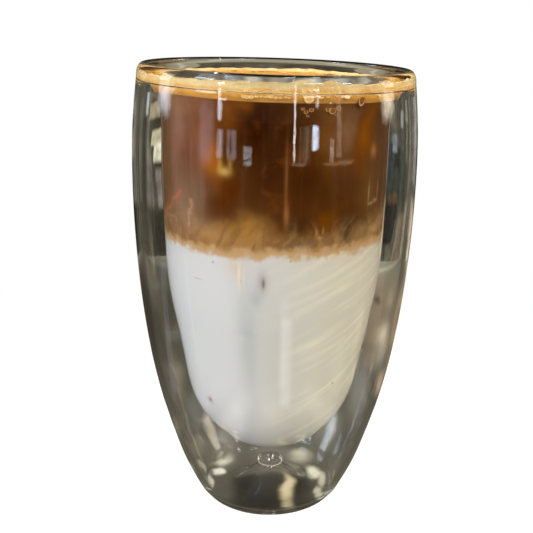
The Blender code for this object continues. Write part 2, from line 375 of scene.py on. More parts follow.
def arc(centre, radii, start, end, count):
    """Points on an ellipse about centre, between two angles in degrees from +X."""
    turn = np.radians(np.linspace(start, end, count))
    return np.stack([centre[0] + radii[0] * np.cos(turn), centre[1] + radii[1] * np.sin(turn)], axis=1)


def cup_inside():
    """The cup's inner face from the middle of its floor to the rim, level where it crosses the axis."""
    mirrored = [(-r, z) for r, z in CUP_INSIDE[:0:-1]]
    whole = smooth(mirrored + list(CUP_INSIDE), 2 * FINE + 1)
    half = whole[FINE:]
    half[0, 0] = 0.0
    return half


def cup_outside():
    """The cup's outer face, towards the air space."""
    inside = cup_inside()
    share = np.clip((inside[:, 1] - THINNING[0]) / (THINNING[1] - THINNING[0]), 0, 1)
    wall = CUP_WALL - (CUP_WALL - CUP_RIM_WALL) * share**2 * (3 - 2 * share)
    outside = beside(inside, wall[:, None])
    outside[0, 0] = 0.0
    return outside


def space_top(start, end, count):
    """The low arch between the two sides of the air space, without its ends."""
    turn = np.linspace(0, np.pi, count)
    points = start + (end - start) * (1 - np.cos(turn))[:, None] / 2
    points[:, 1] += SPACE_TOP_RISE * np.sin(turn)
    return points[1:-1]


def punt(radius, height, width):
    """Heights of the raised middle of the base, at the given radii."""
    return height * 0.5 * (1 + np.cos(np.pi * np.clip(np.asarray(radius) / width, 0, 1)))


def space_floor(radius):
    """Height of the air space's floor at a radius."""
    return BASE_WALL + punt(radius, PUNT_HEIGHT, PUNT_RADIUS + BASE_WALL / 2)


def by_bend(line, low_count, middle_count, high_count):
    """A cup line's points, closer together at its round bottom and below the rim, where it bends."""
    low = line[line[:, 1] < ROUND_BOTTOM_TOP]
    middle = line[(line[:, 1] >= ROUND_BOTTOM_TOP) & (line[:, 1] < FLARE_START)]
    high = line[line[:, 1] >= FLARE_START]
    stretches = [along(low, low_count), along(middle, middle_count)[1:], along(high, high_count)[1:]]
    return np.concatenate(stretches)


def glass_stretches():
    """The stretches of the glass's section, from the middle of the cup's floor, over the rim, round
    the outside and the base to the vent, and back through the air space to the cup's underside."""
    cup = by_bend(cup_inside(), *CUP_POINTS)
    crest = np.array([RIM_CREST_RADIUS, HEIGHT])
    inner_drop = crest - cup[-1]
    outer_drop = np.array([SHELL_OUTSIDE[0][0] - crest[0], HEIGHT - SHELL_OUTSIDE[0][1]])
    rim_inside = arc((crest[0], cup[-1][1]), inner_drop, 180, 90, RIM_INSIDE_POINTS)[1:]
    rim_outside = arc((crest[0], SHELL_OUTSIDE[0][1]), outer_drop, 90, 0, RIM_OUTSIDE_POINTS)[1:-1]
    shell = smooth(SHELL_OUTSIDE)
    rounding = (FOOT_EDGE_ROUNDING, FOOT_EDGE_ROUNDING)
    foot = arc((FOOT_RADIUS, FOOT_EDGE_ROUNDING), rounding, FOOT_EDGE_START, -90, FOOT_POINTS)
    punt_radii = np.linspace(PUNT_RADIUS, VENT_RADIUS, UNDERSIDE_POINTS)
    underside = np.stack([punt_radii, punt(punt_radii, PUNT_HEIGHT, PUNT_RADIUS)], axis=1)
    floor_radii = np.linspace(VENT_RADIUS, PUNT_RADIUS + BASE_WALL / 2, FLOOR_POINTS)
    floor = np.stack([floor_radii, space_floor(floor_radii)], axis=1)
    space_end = HEIGHT - SPACE_TOP_DEPTH
    space_outside = beside(shell, SHELL_WALL)[::-1]
    heights = space_outside[:, 1]
    space_outside = space_outside[(heights > SPACE_CORNER_TOP) & (heights < space_end)]
    corner = smooth([(SPACE_FLOOR_RADIUS, BASE_WALL), SPACE_CORNER, space_outside[0]], CORNER_POINTS)
    space_inside = cup_outside()
    space_inside = space_inside[space_inside[:, 1] < space_end]
    return {
        "cup": cup,
        "rim": np.concatenate([rim_inside, rim_outside]),
        "shell": along(shell, SHELL_POINTS),
        "base": np.concatenate([foot, underside, floor, corner]),
        "space_outside": along(space_outside, SPACE_OUTSIDE_POINTS)[1:],
        "space_top": space_top(space_outside[-1], space_inside[-1], SPACE_TOP_POINTS),
        "space_inside": by_bend(space_inside, *SPACE_INSIDE_POINTS)[::-1],
    }


def ripple(directions, heights, phase):
    """The slow unevenness of blown glass, between about -1 and 1."""
    slow = 0.5 * np.sin(5 * directions + 70 * heights + phase)
    middle = 0.3 * np.sin(11 * directions - 130 * heights + 2 * phase)
    quick = 0.2 * np.sin(23 * directions + 240 * heights + 3 * phase)
    return slow + middle + quick


def turned_away(directions, degrees):
    """How far directions lie from one that is given in degrees, the shorter way round."""
    return (directions - math.radians(degrees) + np.pi) % (2 * np.pi) - np.pi


def join_rings(directions, heights):
    """How far the rings where the shell was joined, and their lumps, stand out."""
    total = np.zeros_like(directions * heights)
    for index, (height, depth, half_width) in enumerate(JOIN_RINGS):
        centre = height + 0.0006 * np.sin(4 * directions + index)
        total += depth * np.exp(-(((heights - centre) / half_width) ** 2))
    for degrees, height, depth, half_width, half_height in JOIN_LUMPS:
        sideways = turned_away(directions, degrees) / math.radians(half_width)
        total += depth * np.exp(-(sideways**2) - ((heights - height) / half_height) ** 2)
    return total


def turned_body(name, outlines, material, sharp=None):
    """A closed body. Its outlines, one for each direction, start and end on the axis."""
    sides, count = outlines.shape[:2]
    turns = 2 * np.pi * np.arange(sides) / sides
    rows = outlines[:, 1:-1]
    x = rows[:, :, 0] * np.sin(turns)[:, None]
    y = -rows[:, :, 0] * np.cos(turns)[:, None]
    points = np.stack([x, y, rows[:, :, 1]], axis=2).reshape(-1, 3)
    ends = [(0.0, 0.0, outlines[0, 0, 1]), (0.0, 0.0, outlines[0, -1, 1])]
    row = count - 2
    first, last = sides * row, sides * row + 1
    faces = []
    for i in range(sides):
        here, following = i * row, ((i + 1) % sides) * row
        faces.append((first, here, following))
        faces.append((last, following + row - 1, here + row - 1))
        for k in range(row - 1):
            faces.append((here + k, here + k + 1, following + k + 1, following + k))
    return mesh_piece(name, np.concatenate([points, ends]), faces, material, sharp)


def mesh_piece(name, points, faces, material, sharp=None):
    """A smooth mesh object with one material."""
    mesh = bpy.data.meshes.new(name)
    mesh.from_pydata(np.asarray(points).tolist(), [], faces)
    mesh.validate()
    mesh.shade_smooth()
    if sharp is not None:
        mesh.set_sharp_from_angle(angle=math.radians(sharp))
    mesh.materials.append(material)
    piece = bpy.data.objects.new(name, mesh)
    bpy.context.scene.collection.objects.link(piece)
    return piece


def ring_piece(name, radius, thickness, height, material):
    """A thin ring that lies level."""
    around, section = SIDES // 3, 8
    points, faces = [], []
    for i in range(around):
        turn = 2 * math.pi * i / around
        for k in range(section):
            tilt = 2 * math.pi * k / section
            out = radius + thickness * math.cos(tilt)
            points.append((out * math.sin(turn), -out * math.cos(turn), height + thickness * math.sin(tilt)))
            a, b = i * section, ((i + 1) % around) * section
            after = (k + 1) % section
            faces.append((a + k, b + k, b + after, a + after))
    return mesh_piece(name, points, faces, material)


def put(piece, slot, *nodes):
    """The piece rides with the part and stands for the named solids."""
    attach(piece, "root")
    if nodes:
        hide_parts(*nodes)


def wave(direction, share):
    """A gentle unevenness between about -1 and 1 that dies out at the axis, where share is 0."""
    return (0.6 * np.sin(3 * direction + 1.1) + 0.4 * np.sin(5 * direction + 2.6)) * share


def milk_top(direction, share):
    """Height of the milk's uneven surface at a direction and a share of the cup's radius."""
    slope = MILK_TILT * np.sin(direction) * share
    return MILK_LEVEL + slope + MILK_WAVE * wave(direction + share, share**2)


def coffee_top(direction, share):
    return FOAM_UNDERSIDE + FOAM_UNDERSIDE_WAVE * wave(direction + 0.7, share)


def foam_edge(direction):
    """How far the foam climbs the wall above its level."""
    edge = FOAM_CLING + 0 * direction
    for degrees, height, half_width in FOAM_PEAKS:
        away = turned_away(direction, degrees) / math.radians(half_width)
        edge = edge + height * np.exp(-(away**2))
    return edge


def foam_top(direction, share):
    """The foam is level, and climbs the wall in a thin edge with a few peaks."""
    relief = 0.00008 * np.sin(31 * direction + 9 * share) + 0.00006 * np.sin(53 * direction - 17 * share)
    return FOAM_LEVEL + foam_edge(direction) * share**CLING_POWER + relief * share


def drink_face():
    """The drink's side and bottom: a little way into the cup's wall."""
    face = beside(cup_inside(), REACH)
    face[0, 0] = 0.0
    return face


def drink_radius(height):
    face = drink_face()
    return np.interp(height, face[:, 1], face[:, 0])


def surface(top, shares):
    """A layer's surface from the axis to the wall, for each direction."""
    directions = TURNS[:, None]
    edge_heights = top(TURNS, 1.0)
    radii = drink_radius(edge_heights)[:, None] * shares[None, :]
    heights = top(directions, shares[None, :]) * np.ones_like(radii)
    return np.stack([radii, heights], axis=2)


def side(high, low, count):
    """Points down the drink's side between two heights for each direction, without the ends."""
    steps = np.linspace(0, 1, count + 2)[1:-1]
    heights = high[:, None] + (low - high)[:, None] * steps[None, :]
    return np.stack([drink_radius(heights), heights], axis=2)


def layer_outlines(top, under, count, shares):
    upper, lower = surface(top, shares), surface(under, shares)
    return np.concatenate([upper, side(upper[:, -1, 1], lower[:, -1, 1], count), lower[:, ::-1]], axis=1)


class Nodes:
    """Adds nodes to a tree. A value that is a socket is linked, and any other is set."""

    def __init__(self, tree):
        self.tree = tree
        self.count = 0

    def add(self, kind, inputs=None, **settings):
        node = self.tree.nodes.new("ShaderNode" + kind)
        node.location = (220 * (self.count // 6), -180 * (self.count % 6))
        self.count += 1
        for name, value in settings.items():
            setattr(node, name, value)
        for name, value in (inputs or {}).items():
            self.set(node.inputs[name], value)
        return node

    def set(self, socket, value):
        if isinstance(value, bpy.types.NodeSocket):
            self.tree.links.new(value, socket)
        elif hasattr(value, "__len__") and len(value) == 3 and socket.type == "RGBA":
            socket.default_value = (*value, 1.0)
        else:
            socket.default_value = value

    def math(self, operation, *values):
        node = self.add("Math", operation=operation)
        for socket, value in zip(node.inputs, values):
            self.set(socket, value)
        return node.outputs[0]

    def mix(self, share, first, second):
        """A colour between two, by share."""
        node = self.add("Mix", data_type="RGBA")
        for index, value in ((0, share), (6, first), (7, second)):
            self.set(node.inputs[index], value)
        return node.outputs[2]

    def between(self, value, low, high, start=0.0, end=1.0):
        """Rises smoothly from start at low to end at high."""
        inputs = {"Value": value, "From Min": low, "From Max": high, "To Min": start, "To Max": end}
        return self.add("MapRange", inputs, interpolation_type="SMOOTHSTEP").outputs[0]

    def noise(self, vector, scale, detail=3.0, roughness=0.5, distortion=0.0):
        inputs = {
            "Vector": vector,
            "Scale": scale,
            "Detail": detail,
            "Roughness": roughness,
            "Distortion": distortion,
        }
        return self.add("TexNoise", inputs).outputs[0]

    def vector(self, x, y, z=0.0):
        return self.add("CombineXYZ", {"X": x, "Y": y, "Z": z}).outputs[0]

    def ramp(self, value, stops):
        """A colour by value, from stops of a place between 0 and 1 and a colour."""
        node = self.add("ValToRGB", {"Fac": value})
        elements = node.color_ramp.elements
        while len(elements) < len(stops):
            elements.new(1.0)
        for element, (place, colour) in zip(elements, stops):
            element.position = place
            element.color = (*colour, 1.0)
        return node.outputs[0]


def group(name, inputs, outputs):
    """An empty node group with its sockets, and its two end nodes."""
    tree = bpy.data.node_groups.new(name, "ShaderNodeTree")
    for direction, sockets in (("INPUT", inputs), ("OUTPUT", outputs)):
        for label, kind in sockets:
            tree.interface.new_socket(label, in_out=direction, socket_type="NodeSocket" + kind)
    nodes = Nodes(tree)
    return nodes, tree.nodes.new("NodeGroupInput"), tree.nodes.new("NodeGroupOutput")


def group_named(name, build):
    """The group of that name, built the first time that it is asked for."""
    return bpy.data.node_groups.get(name) or build(name)


def round_the_axis(name):
    """Group: the direction in degrees and the height in millimetres of a place."""
    nodes, start, end = group(name, [("Place", "Vector")], [("Direction", "Float"), ("Height", "Float")])
    apart = nodes.add("SeparateXYZ", {"Vector": start.outputs["Place"]})
    towards_camera = nodes.math("MULTIPLY", apart.outputs["Y"], -1.0)
    turn = nodes.math("ARCTAN2", apart.outputs["X"], towards_camera)
    nodes.set(end.inputs["Direction"], nodes.math("DEGREES", turn))
    nodes.set(end.inputs["Height"], nodes.math("MULTIPLY", apart.outputs["Z"], 1000.0))
    return nodes.tree


def spot_group(name):
    """Group: a soft oval mask round a direction and a height."""
    labels = ("Direction", "Height", "At direction", "At height", "Half width", "Half height")
    labels += ("Strength", "Evenness")
    nodes, start, end = group(name, [(label, "Float") for label in labels], [("Mask", "Float")])
    value = {label: start.outputs[label] for label in labels}
    terms = []
    for place, centre, size in (
        ("Direction", "At direction", "Half width"),
        ("Height", "At height", "Half height"),
    ):
        away = nodes.math("DIVIDE", nodes.math("SUBTRACT", value[place], value[centre]), value[size])
        terms.append(nodes.math("MULTIPLY", away, away))
    distance = nodes.math("POWER", nodes.math("ADD", *terms), value["Evenness"])
    fall = nodes.math("EXPONENT", nodes.math("MULTIPLY", distance, -1.0))
    nodes.set(end.inputs["Mask"], nodes.math("MULTIPLY", fall, value["Strength"]))
    return nodes.tree


def box_group(name):
    """Group: a mask that is 1 inside an oblong and fades out round it."""
    labels = ("Across", "Up", "At across", "At up", "Half width", "Half height", "Softness")
    nodes, start, end = group(name, [(label, "Float") for label in labels], [("Mask", "Float")])
    value = {label: start.outputs[label] for label in labels}
    masks = []
    for place, centre, half in (("Across", "At across", "Half width"), ("Up", "At up", "Half height")):
        away = nodes.math("ABSOLUTE", nodes.math("SUBTRACT", value[place], value[centre]))
        edge = nodes.math("ADD", value[half], value["Softness"])
        masks.append(nodes.between(away, edge, value[half]))
    nodes.set(end.inputs["Mask"], nodes.math("MULTIPLY", *masks))
    return nodes.tree


def streaks_group(name):
    """Group: drawn-out streaks. Across counts streaks sideways and Along counts their lengths."""
    labels = ("Across", "Along", "Low", "High")
    nodes, start, end = group(name, [(label, "Float") for label in labels], [("Mask", "Float")])
    place = nodes.vector(start.outputs["Across"], start.outputs["Along"])
    strength = nodes.noise(place, 1.0, 4.0, 0.55, 0.3)
    mask = nodes.between(strength, start.outputs["Low"], start.outputs["High"])
    nodes.set(end.inputs["Mask"], mask)
    return nodes.tree


class Place:
    """Direction, height and place of the surface, with masks that are drawn by them."""

    def __init__(self, nodes, vector=None, direction=None, height=None):
        self.nodes = nodes
        self.vector = vector or nodes.add("TexCoord").outputs["Object"]
        if direction is None:
            there = nodes.add("Group", node_tree=group_named("Round the Axis", round_the_axis))
            nodes.set(there.inputs["Place"], self.vector)
            direction, height = there.outputs["Direction"], there.outputs["Height"]
        self.direction, self.height = direction, height

    def from_axis(self):
        """Distance from the axis, in mm."""
        nodes = self.nodes
        level = nodes.add("VectorMath", {0: self.vector, 1: (1000.0, 1000.0, 0.0)}, operation="MULTIPLY")
        return nodes.add("VectorMath", {0: level.outputs[0]}, operation="LENGTH").outputs["Value"]

    def stirred(self, scale, sideways, upright, detail=3.0):
        """The same place moved unevenly, as by stirring: sideways in degrees, upright in mm."""
        nodes = self.nodes
        unevenness = nodes.add("TexNoise", {"Vector": self.vector, "Scale": scale, "Detail": detail})
        apart = nodes.add("SeparateXYZ", {"Vector": unevenness.outputs["Color"]})
        shift = nodes.between(apart.outputs["X"], 0.25, 0.75, -sideways, sideways)
        lift = nodes.between(apart.outputs["Y"], 0.25, 0.75, -upright, upright)
        direction = nodes.math("ADD", self.direction, shift)
        height = nodes.math("ADD", self.height, lift)
        return Place(nodes, self.vector, direction, height)

    def spot(self, direction, height, half_width, half_height, strength=1.0, evenness=1.0):
        """A soft oval. The more evenness, the flatter its middle and the sharper its edge."""
        node = self.nodes.add("Group", node_tree=group_named("Soft Spot", spot_group))
        values = (self.direction, self.height, direction, height, half_width, half_height, strength, evenness)
        for socket, value in zip(node.inputs, values):
            self.nodes.set(socket, value)
        return node.outputs["Mask"]

    def painted(self, rows, colour):
        """The colour with soft ovals on it, from rows that end in strength and tone."""
        for *where, strength, shade in rows:
            mask = self.spot(*where[:4], strength, *where[4:])
            colour = self.nodes.mix(mask, colour, tone(*shade))
        return colour

    def boxes(self, rows, colour):
        """The colour with soft-edged oblongs on it, from rows that end in brightness and tone."""
        nodes = self.nodes
        for *where, brightness, shade in rows:
            node = nodes.add("Group", node_tree=group_named("Soft Box", box_group))
            for socket, value in zip(node.inputs, (self.direction, self.height, *where)):
                nodes.set(socket, value)
            light = tuple(brightness * value for value in tone(*shade))
            colour = nodes.mix(node.outputs["Mask"], colour, light)
        return colour

    def line(self, ends, half_width):
        """A mask for a thin curve through three points, which runs mostly sideways or mostly upright."""
        nodes = self.nodes
        (x1, y1), (x2, y2), (x3, y3) = ends
        sideways = abs(x3 - x1) > abs(y3 - y1)
        known, other = (self.direction, self.height) if sideways else (self.height, self.direction)
        (a1, b1), (a2, b2), (a3, b3) = ends if sideways else ((y1, x1), (y2, x2), (y3, x3))
        reach = {"Value": known, "From Min": a1, "From Max": a3}
        straight = nodes.add("MapRange", {**reach, "To Min": b1, "To Max": b3})
        share = nodes.add("MapRange", reach).outputs[0]
        sag = b2 - (b1 + (b3 - b1) * (a2 - a1) / (a3 - a1))
        hump = nodes.math("MULTIPLY", share, nodes.math("SUBTRACT", 1.0, share))
        curve = nodes.math("ADD", straight.outputs[0], nodes.math("MULTIPLY", hump, 4 * sag))
        away = nodes.math("DIVIDE", nodes.math("SUBTRACT", other, curve), half_width)
        across = nodes.math("EXPONENT", nodes.math("MULTIPLY", nodes.math("MULTIPLY", away, away), -1.0))
        inside = nodes.between(hump, 0.0, 0.12)
        return nodes.math("MULTIPLY", across, inside)

    def streaks(self, width, length, low, high, slope=0.0):
        """Streaks that are width degrees wide and length mm long, or leaning ones where slope isn't 0."""
        nodes = self.nodes
        if slope:
            across = nodes.math("SUBTRACT", self.height, nodes.math("MULTIPLY", self.direction, slope))
            along_them = self.direction
        else:
            across, along_them = self.direction, self.height
        node = nodes.add("Group", node_tree=group_named("Streaks", streaks_group))
        nodes.set(node.inputs["Across"], nodes.math("DIVIDE", across, width))
        nodes.set(node.inputs["Along"], nodes.math("DIVIDE", along_them, length))
        nodes.set(node.inputs["Low"], low)
        nodes.set(node.inputs["High"], high)
        return node.outputs["Mask"]


# Colours in the coffee where it is well stirred, with painted light among them: a dark middle in painted
# shade and amber painted glows where light shines through. Columns: direction, height, half width, half
# height, strength and tone. Later rows lie over earlier ones.
COFFEE_CLOUDS_AND_PAINTED_LIGHT = (
    (-62, 118, 22, 26, 1.0, (110, 74, 44)),
    (-53, 128, 10, 12, 0.9, (142, 102, 80)),
    (-37, 128, 8, 13, 0.9, (126, 72, 36)),
    (-45, 120, 8, 4, 0.7, (104, 58, 33)),
    (-52, 107, 9, 5, 0.7, (134, 102, 76)),
    (-40, 108, 7, 6, 0.7, (122, 92, 64)),
    (60, 120, 15, 22, 0.95, (96, 62, 32)),
    (26, 128, 7, 9, 0.8, (118, 74, 32)),
    (35, 130, 5, 8, 0.75, (140, 102, 72)),
    (50, 111, 9, 8, 0.7, (112, 76, 36)),
    # Painted glow: amber where light shines through the coffee's side
    (46, 129, 6, 9, 1.0, (134, 76, 6)),
    (44, 120, 5, 4, 0.8, (108, 56, 14)),
    # Painted shade: the coffee's dark middle, in the next four rows
    (-8, 130, 11, 11, 1.0, (50, 19, 1)),
    (5, 127, 7, 10, 0.8, (58, 28, 6)),
    (-4, 117, 8, 7, 0.85, (58, 27, 5)),
    (14, 114, 7, 6, 0.85, (64, 29, 3)),
    (-24, 111, 5, 6, 0.95, (86, 38, 2)),
    # Painted glow: amber where light shines through the coffee's side
    (-31, 119.5, 4, 5, 0.95, (158, 88, 6)),
    (-25, 134, 6, 4, 0.8, (128, 66, 8)),
    (-16, 136, 6, 2, 0.7, (136, 76, 14)),
    (26, 135.5, 8, 2, 0.6, (136, 92, 48)),
    (-52, 136, 18, 3, 0.6, (156, 112, 76)),
)
# Colours low down, where milk has risen into the coffee, with the same values
MARBLING = (
    (-45, 101, 22, 4.5, 0.85, (146, 114, 84)),
    (-60, 97, 14, 4, 0.8, (132, 94, 62)),
    (10, 101, 6, 3, 0.85, (66, 37, 14)),
    (-15, 101.5, 10, 3, 0.95, (162, 114, 48)),
    (-30, 98, 14, 3, 0.9, (168, 124, 74)),
    (-8, 98, 9, 3.4, 0.95, (160, 116, 66)),
    (6, 96, 6, 2.2, 0.7, (142, 108, 70)),
    (15, 96.5, 7, 2, 0.8, (112, 90, 66)),
    (25, 102.5, 6, 3, 0.9, (108, 62, 4)),
    (36, 100.5, 5, 2.6, 0.9, (62, 40, 20)),
    (27, 96.3, 6, 1.8, 0.6, (130, 98, 66)),
    (35, 96.8, 6, 1.6, 0.6, (106, 84, 60)),
    (47, 98.5, 8, 3, 0.85, (140, 112, 76)),
    (59, 98, 9, 4, 0.95, (172, 134, 86)),
    (69, 100, 8, 5, 0.8, (150, 112, 76)),
)
# What shows plainly: a painted amber glow with a bright painted curl, a pale spot, the drip and its end, and
# thin curls
MARKS = (
    # Painted glow and highlight: light shining through the coffee, with a bright painted curl in the next two
    # rows
    (-24.4, 117.2, 3.2, 1.3, 0.72, (214, 172, 92)),
    (-26.6, 119.4, 1.3, 1.9, 0.5, (206, 158, 74)),
    (-21.4, 119.4, 1.1, 1.9, 0.45, (200, 150, 70)),
    (54, 122.6, 2.4, 1.9, 0.8, (172, 112, 52)),
    (5.0, 116, 0.75, 9.5, 0.75, (128, 80, 40)),
    (5.4, 105.5, 1.3, 3.4, 0.8, (152, 96, 50)),
    # Painted reflection: the thin pale curl near 55 degrees, in the next four rows
    (51.6, 110, 0.6, 3.2, 0.6, (170, 140, 100)),
    (54, 106.8, 2.2, 0.5, 0.6, (172, 144, 104)),
    (58, 107.4, 1.9, 0.6, 0.6, (172, 144, 104)),
    (60, 110.5, 0.6, 2.8, 0.5, (160, 128, 90)),
    (20.2, 100, 0.6, 1.2, 0.7, (170, 132, 76)),
    (22, 98.6, 1.6, 0.45, 0.7, (176, 138, 84)),
    (23.6, 100.4, 0.6, 1.0, 0.6, (168, 130, 76)),
)
# Soft lines of oil: their ends and the point between them, half width, strength and tone
OIL_LINES = (
    (((-49, 110.4), (-60, 105), (-74, 99.4)), 0.55, 0.75, (186, 96, 62)),
    (((-43.5, 108), (-45, 103), (-45.5, 98.5)), 0.9, 0.55, (186, 140, 112)),
)
# Winding threads where milk meets coffee: scale, distortion, strength and tone
FILAMENTS = (
    (34, 0.9, 0.35, (92, 56, 26)),
    (46, 1.1, 0.16, (204, 166, 112)),
)
# How much the milk's edge rises to the right, in mm
EDGE_TILT = 0.4
# Marks in the milk, with the same values as the coffee's: a smudge, specks of coffee, a thin line
# and stains under the edge
MILK_MARKS = (
    (-5.4, 85, 3.0, 3.6, 0.8, (150, 136, 140)),
    (-8.6, 80, 3.0, 2.8, 0.65, (158, 154, 166)),
    (-4.9, 84.9, 0.75, 1.5, 1.0, (84, 50, 24)),
    (-45.4, 41.5, 3.6, 1.5, 0.35, (150, 140, 140)),
    (-45.2, 41.7, 1.3, 0.75, 0.9, (146, 92, 52)),
    (-41, 83.8, 2.6, 0.25, 0.7, (190, 150, 130)),
    (-31, 90, 0.5, 0.4, 0.8, (160, 120, 90)),
    (-16.3, 85.4, 0.4, 0.4, 0.8, (160, 120, 90)),
    (8, 91.9, 0.5, 0.4, 0.8, (150, 110, 80)),
    (41.9, 48.7, 0.9, 0.4, 0.8, (130, 90, 60)),
    (-13, 68.7, 4, 1.2, 0.5, (160, 160, 176)),
    (-16, 66.8, 1.6, 0.5, 0.6, (232, 232, 230)),
    (-9.5, 69.2, 1.4, 0.35, 0.6, (236, 236, 232)),
    (-19, 89, 4.5, 3.5, 0.5, (200, 178, 148)),
    (-13, 66, 6, 22, 0.7, (180, 179, 177)),
    (2, 64, 12, 30, 0.45, (186, 182, 172)),
    (-17, 87, 0.9, 4.5, 0.7, (232, 214, 178)),
    (-14.6, 86, 0.5, 3.5, 0.6, (226, 206, 170)),
)


def drink_colours(name):
    """Group: the colour of milk and coffee at the glass's wall, and of their marbling, with painted light on
    both.
    """
    colours = bpy.context.scene.latte_drink
    nodes, start, end = group(name, [], [("Color", "Color")])
    nodes.tree.nodes.remove(start)
    place = Place(nodes)
    swirl = place.stirred(70, 4.0, 2.6)
    fine = place.stirred(240, 1.6, 1.0, 5.0)

    coffee = swirl.painted(COFFEE_CLOUDS_AND_PAINTED_LIGHT, colours.coffee_brown)
    cloudy = nodes.between(nodes.noise(place.vector, 110, 4.0, 0.6, 0.8), 0.5, 0.75)
    coffee = nodes.mix(nodes.math("MULTIPLY", cloudy, 0.35), coffee, colours.russet)
    to_the_left = nodes.between(place.direction, -10, -45, 0.05, 0.24)
    drawn = nodes.math("MULTIPLY", place.streaks(3.4, 34, 0.46, 0.76), to_the_left)
    coffee = nodes.mix(drawn, coffee, colours.mauve)

    # Milk has risen into the coffee's lowest part
    coffee = nodes.mix(nodes.between(fine.height, 103, 97, 0.0, 0.6), coffee, colours.caramel)
    coffee = swirl.painted(MARBLING, coffee)
    wisps = nodes.between(nodes.noise(place.vector, 420, 5.0, 0.66, 0.8), 0.42, 0.76)
    low_down = nodes.between(fine.height, 105, 96, 0.0, 0.2)
    coffee = nodes.mix(nodes.math("MULTIPLY", wisps, low_down), coffee, colours.cream)
    for scale, distortion, strength, shade in FILAMENTS:
        winding = nodes.noise(swirl.vector, scale, 3.0, 0.5, distortion)
        ridge = nodes.math("ABSOLUTE", nodes.math("SUBTRACT", winding, 0.5))
        thread = nodes.between(ridge, 0.04, 0.0)
        there = nodes.between(fine.height, 107, 98, 0.0, strength)
        coffee = nodes.mix(nodes.math("MULTIPLY", thread, there), coffee, tone(*shade))
    coffee = place.painted(MARKS, coffee)
    for ends, half_width, strength, shade in OIL_LINES:
        line = nodes.math("MULTIPLY", fine.line(ends, half_width), strength)
        coffee = nodes.mix(line, coffee, tone(*shade))

    # Painted light: the milk turns from the cool tint on the left to the warm one on the right
    warm = nodes.between(place.direction, -25, 45)
    milk = nodes.mix(warm, colours.milk_in_cool_light, colours.milk_in_warm_light)
    # Painted reflection: pale leaning streaks, only on the warm side
    leaning = nodes.math("MULTIPLY", place.streaks(3.2, 60, 0.45, 0.75, 0.24), warm)
    milk = nodes.mix(nodes.math("MULTIPLY", leaning, 0.75), milk, colours.milk_painted_reflection)
    milk = place.painted(MILK_MARKS, milk)

    # The milk's edge rises to the right and is feathered
    turn = nodes.math("RADIANS", place.direction)
    tilt = nodes.math("MULTIPLY", nodes.math("SINE", turn), EDGE_TILT)
    ragged = nodes.between(nodes.noise(place.vector, 420, 4.0, 0.7), 0.3, 0.7, -0.5, 0.5)
    level = nodes.math("ADD", nodes.math("SUBTRACT", fine.height, tilt), ragged)
    creamy = nodes.mix(nodes.between(level, 96.4, 93.9, 0.0, 0.75), coffee, colours.cream)
    nodes.set(end.inputs["Color"], nodes.mix(nodes.between(level, 93.9, 91.4), creamy, milk))
    return nodes.tree


def crema_colours(name):
    """Group: the colour of the foam, with painted shade in the dimples of its fine bubbles, and the height of
    those bubbles.
    """
    colours = bpy.context.scene.latte_drink
    nodes, start, end = group(name, [], [("Color", "Color"), ("Relief", "Float")])
    nodes.tree.nodes.remove(start)
    place = Place(nodes)
    patches = nodes.between(nodes.noise(place.vector, 130, 4.0, 0.6, 0.6), 0.4, 0.7)
    uneven = nodes.between(nodes.noise(place.vector, 260, 3.0), 0.3, 0.7, -0.5, 0.5)
    height = nodes.math("ADD", place.height, uneven)
    golden = nodes.math("MAXIMUM", nodes.between(height, 142.0, 139.6), nodes.math("MULTIPLY", patches, 0.45))
    colour = nodes.mix(golden, colours.crema_light, colours.crema_dark)
    colour = nodes.mix(nodes.between(height, 139.8, 137.8, 0.0, 0.75), colour, colours.caramel)
    level_part = nodes.between(place.from_axis(), 37.0, 36.2)
    brown = nodes.between(nodes.noise(place.vector, 160, 3.0, 0.5, 0.5), 0.42, 0.66)
    on_top = nodes.mix(brown, colours.crema_dark, colours.caramel)
    colour = nodes.mix(level_part, colour, on_top)
    cells = nodes.add("TexVoronoi", {"Vector": place.vector, "Scale": 1500.0})
    pits = nodes.between(cells.outputs["Distance"], 0.55, 0.1)
    # Painted shade: the dimples of the fine bubbles are darkened towards russet
    painted_pit_shade = nodes.mix(nodes.math("MULTIPLY", pits, 0.12), colour, colours.russet)
    nodes.set(end.inputs["Color"], painted_pit_shade)
    nodes.set(end.inputs["Relief"], nodes.math("SUBTRACT", 1.0, pits))
    return nodes.tree


def glass_ripples(name):
    """Group: the height of faint ripples in blown glass."""
    nodes, start, end = group(name, [], [("Relief", "Float")])
    nodes.tree.nodes.remove(start)
    place = Place(nodes)
    drawn = nodes.vector(nodes.math("DIVIDE", place.direction, 9.0), nodes.math("DIVIDE", place.height, 22.0))
    nodes.set(end.inputs["Relief"], nodes.noise(drawn, 1.0, 2.0))
    return nodes.tree


def finish(name):
    """A new material: its nodes and its Principled shader."""
    material = bpy.data.materials.new(name)
    material.use_nodes = True
    nodes = Nodes(material.node_tree)
    return material, nodes, material.node_tree.nodes["Principled BSDF"]


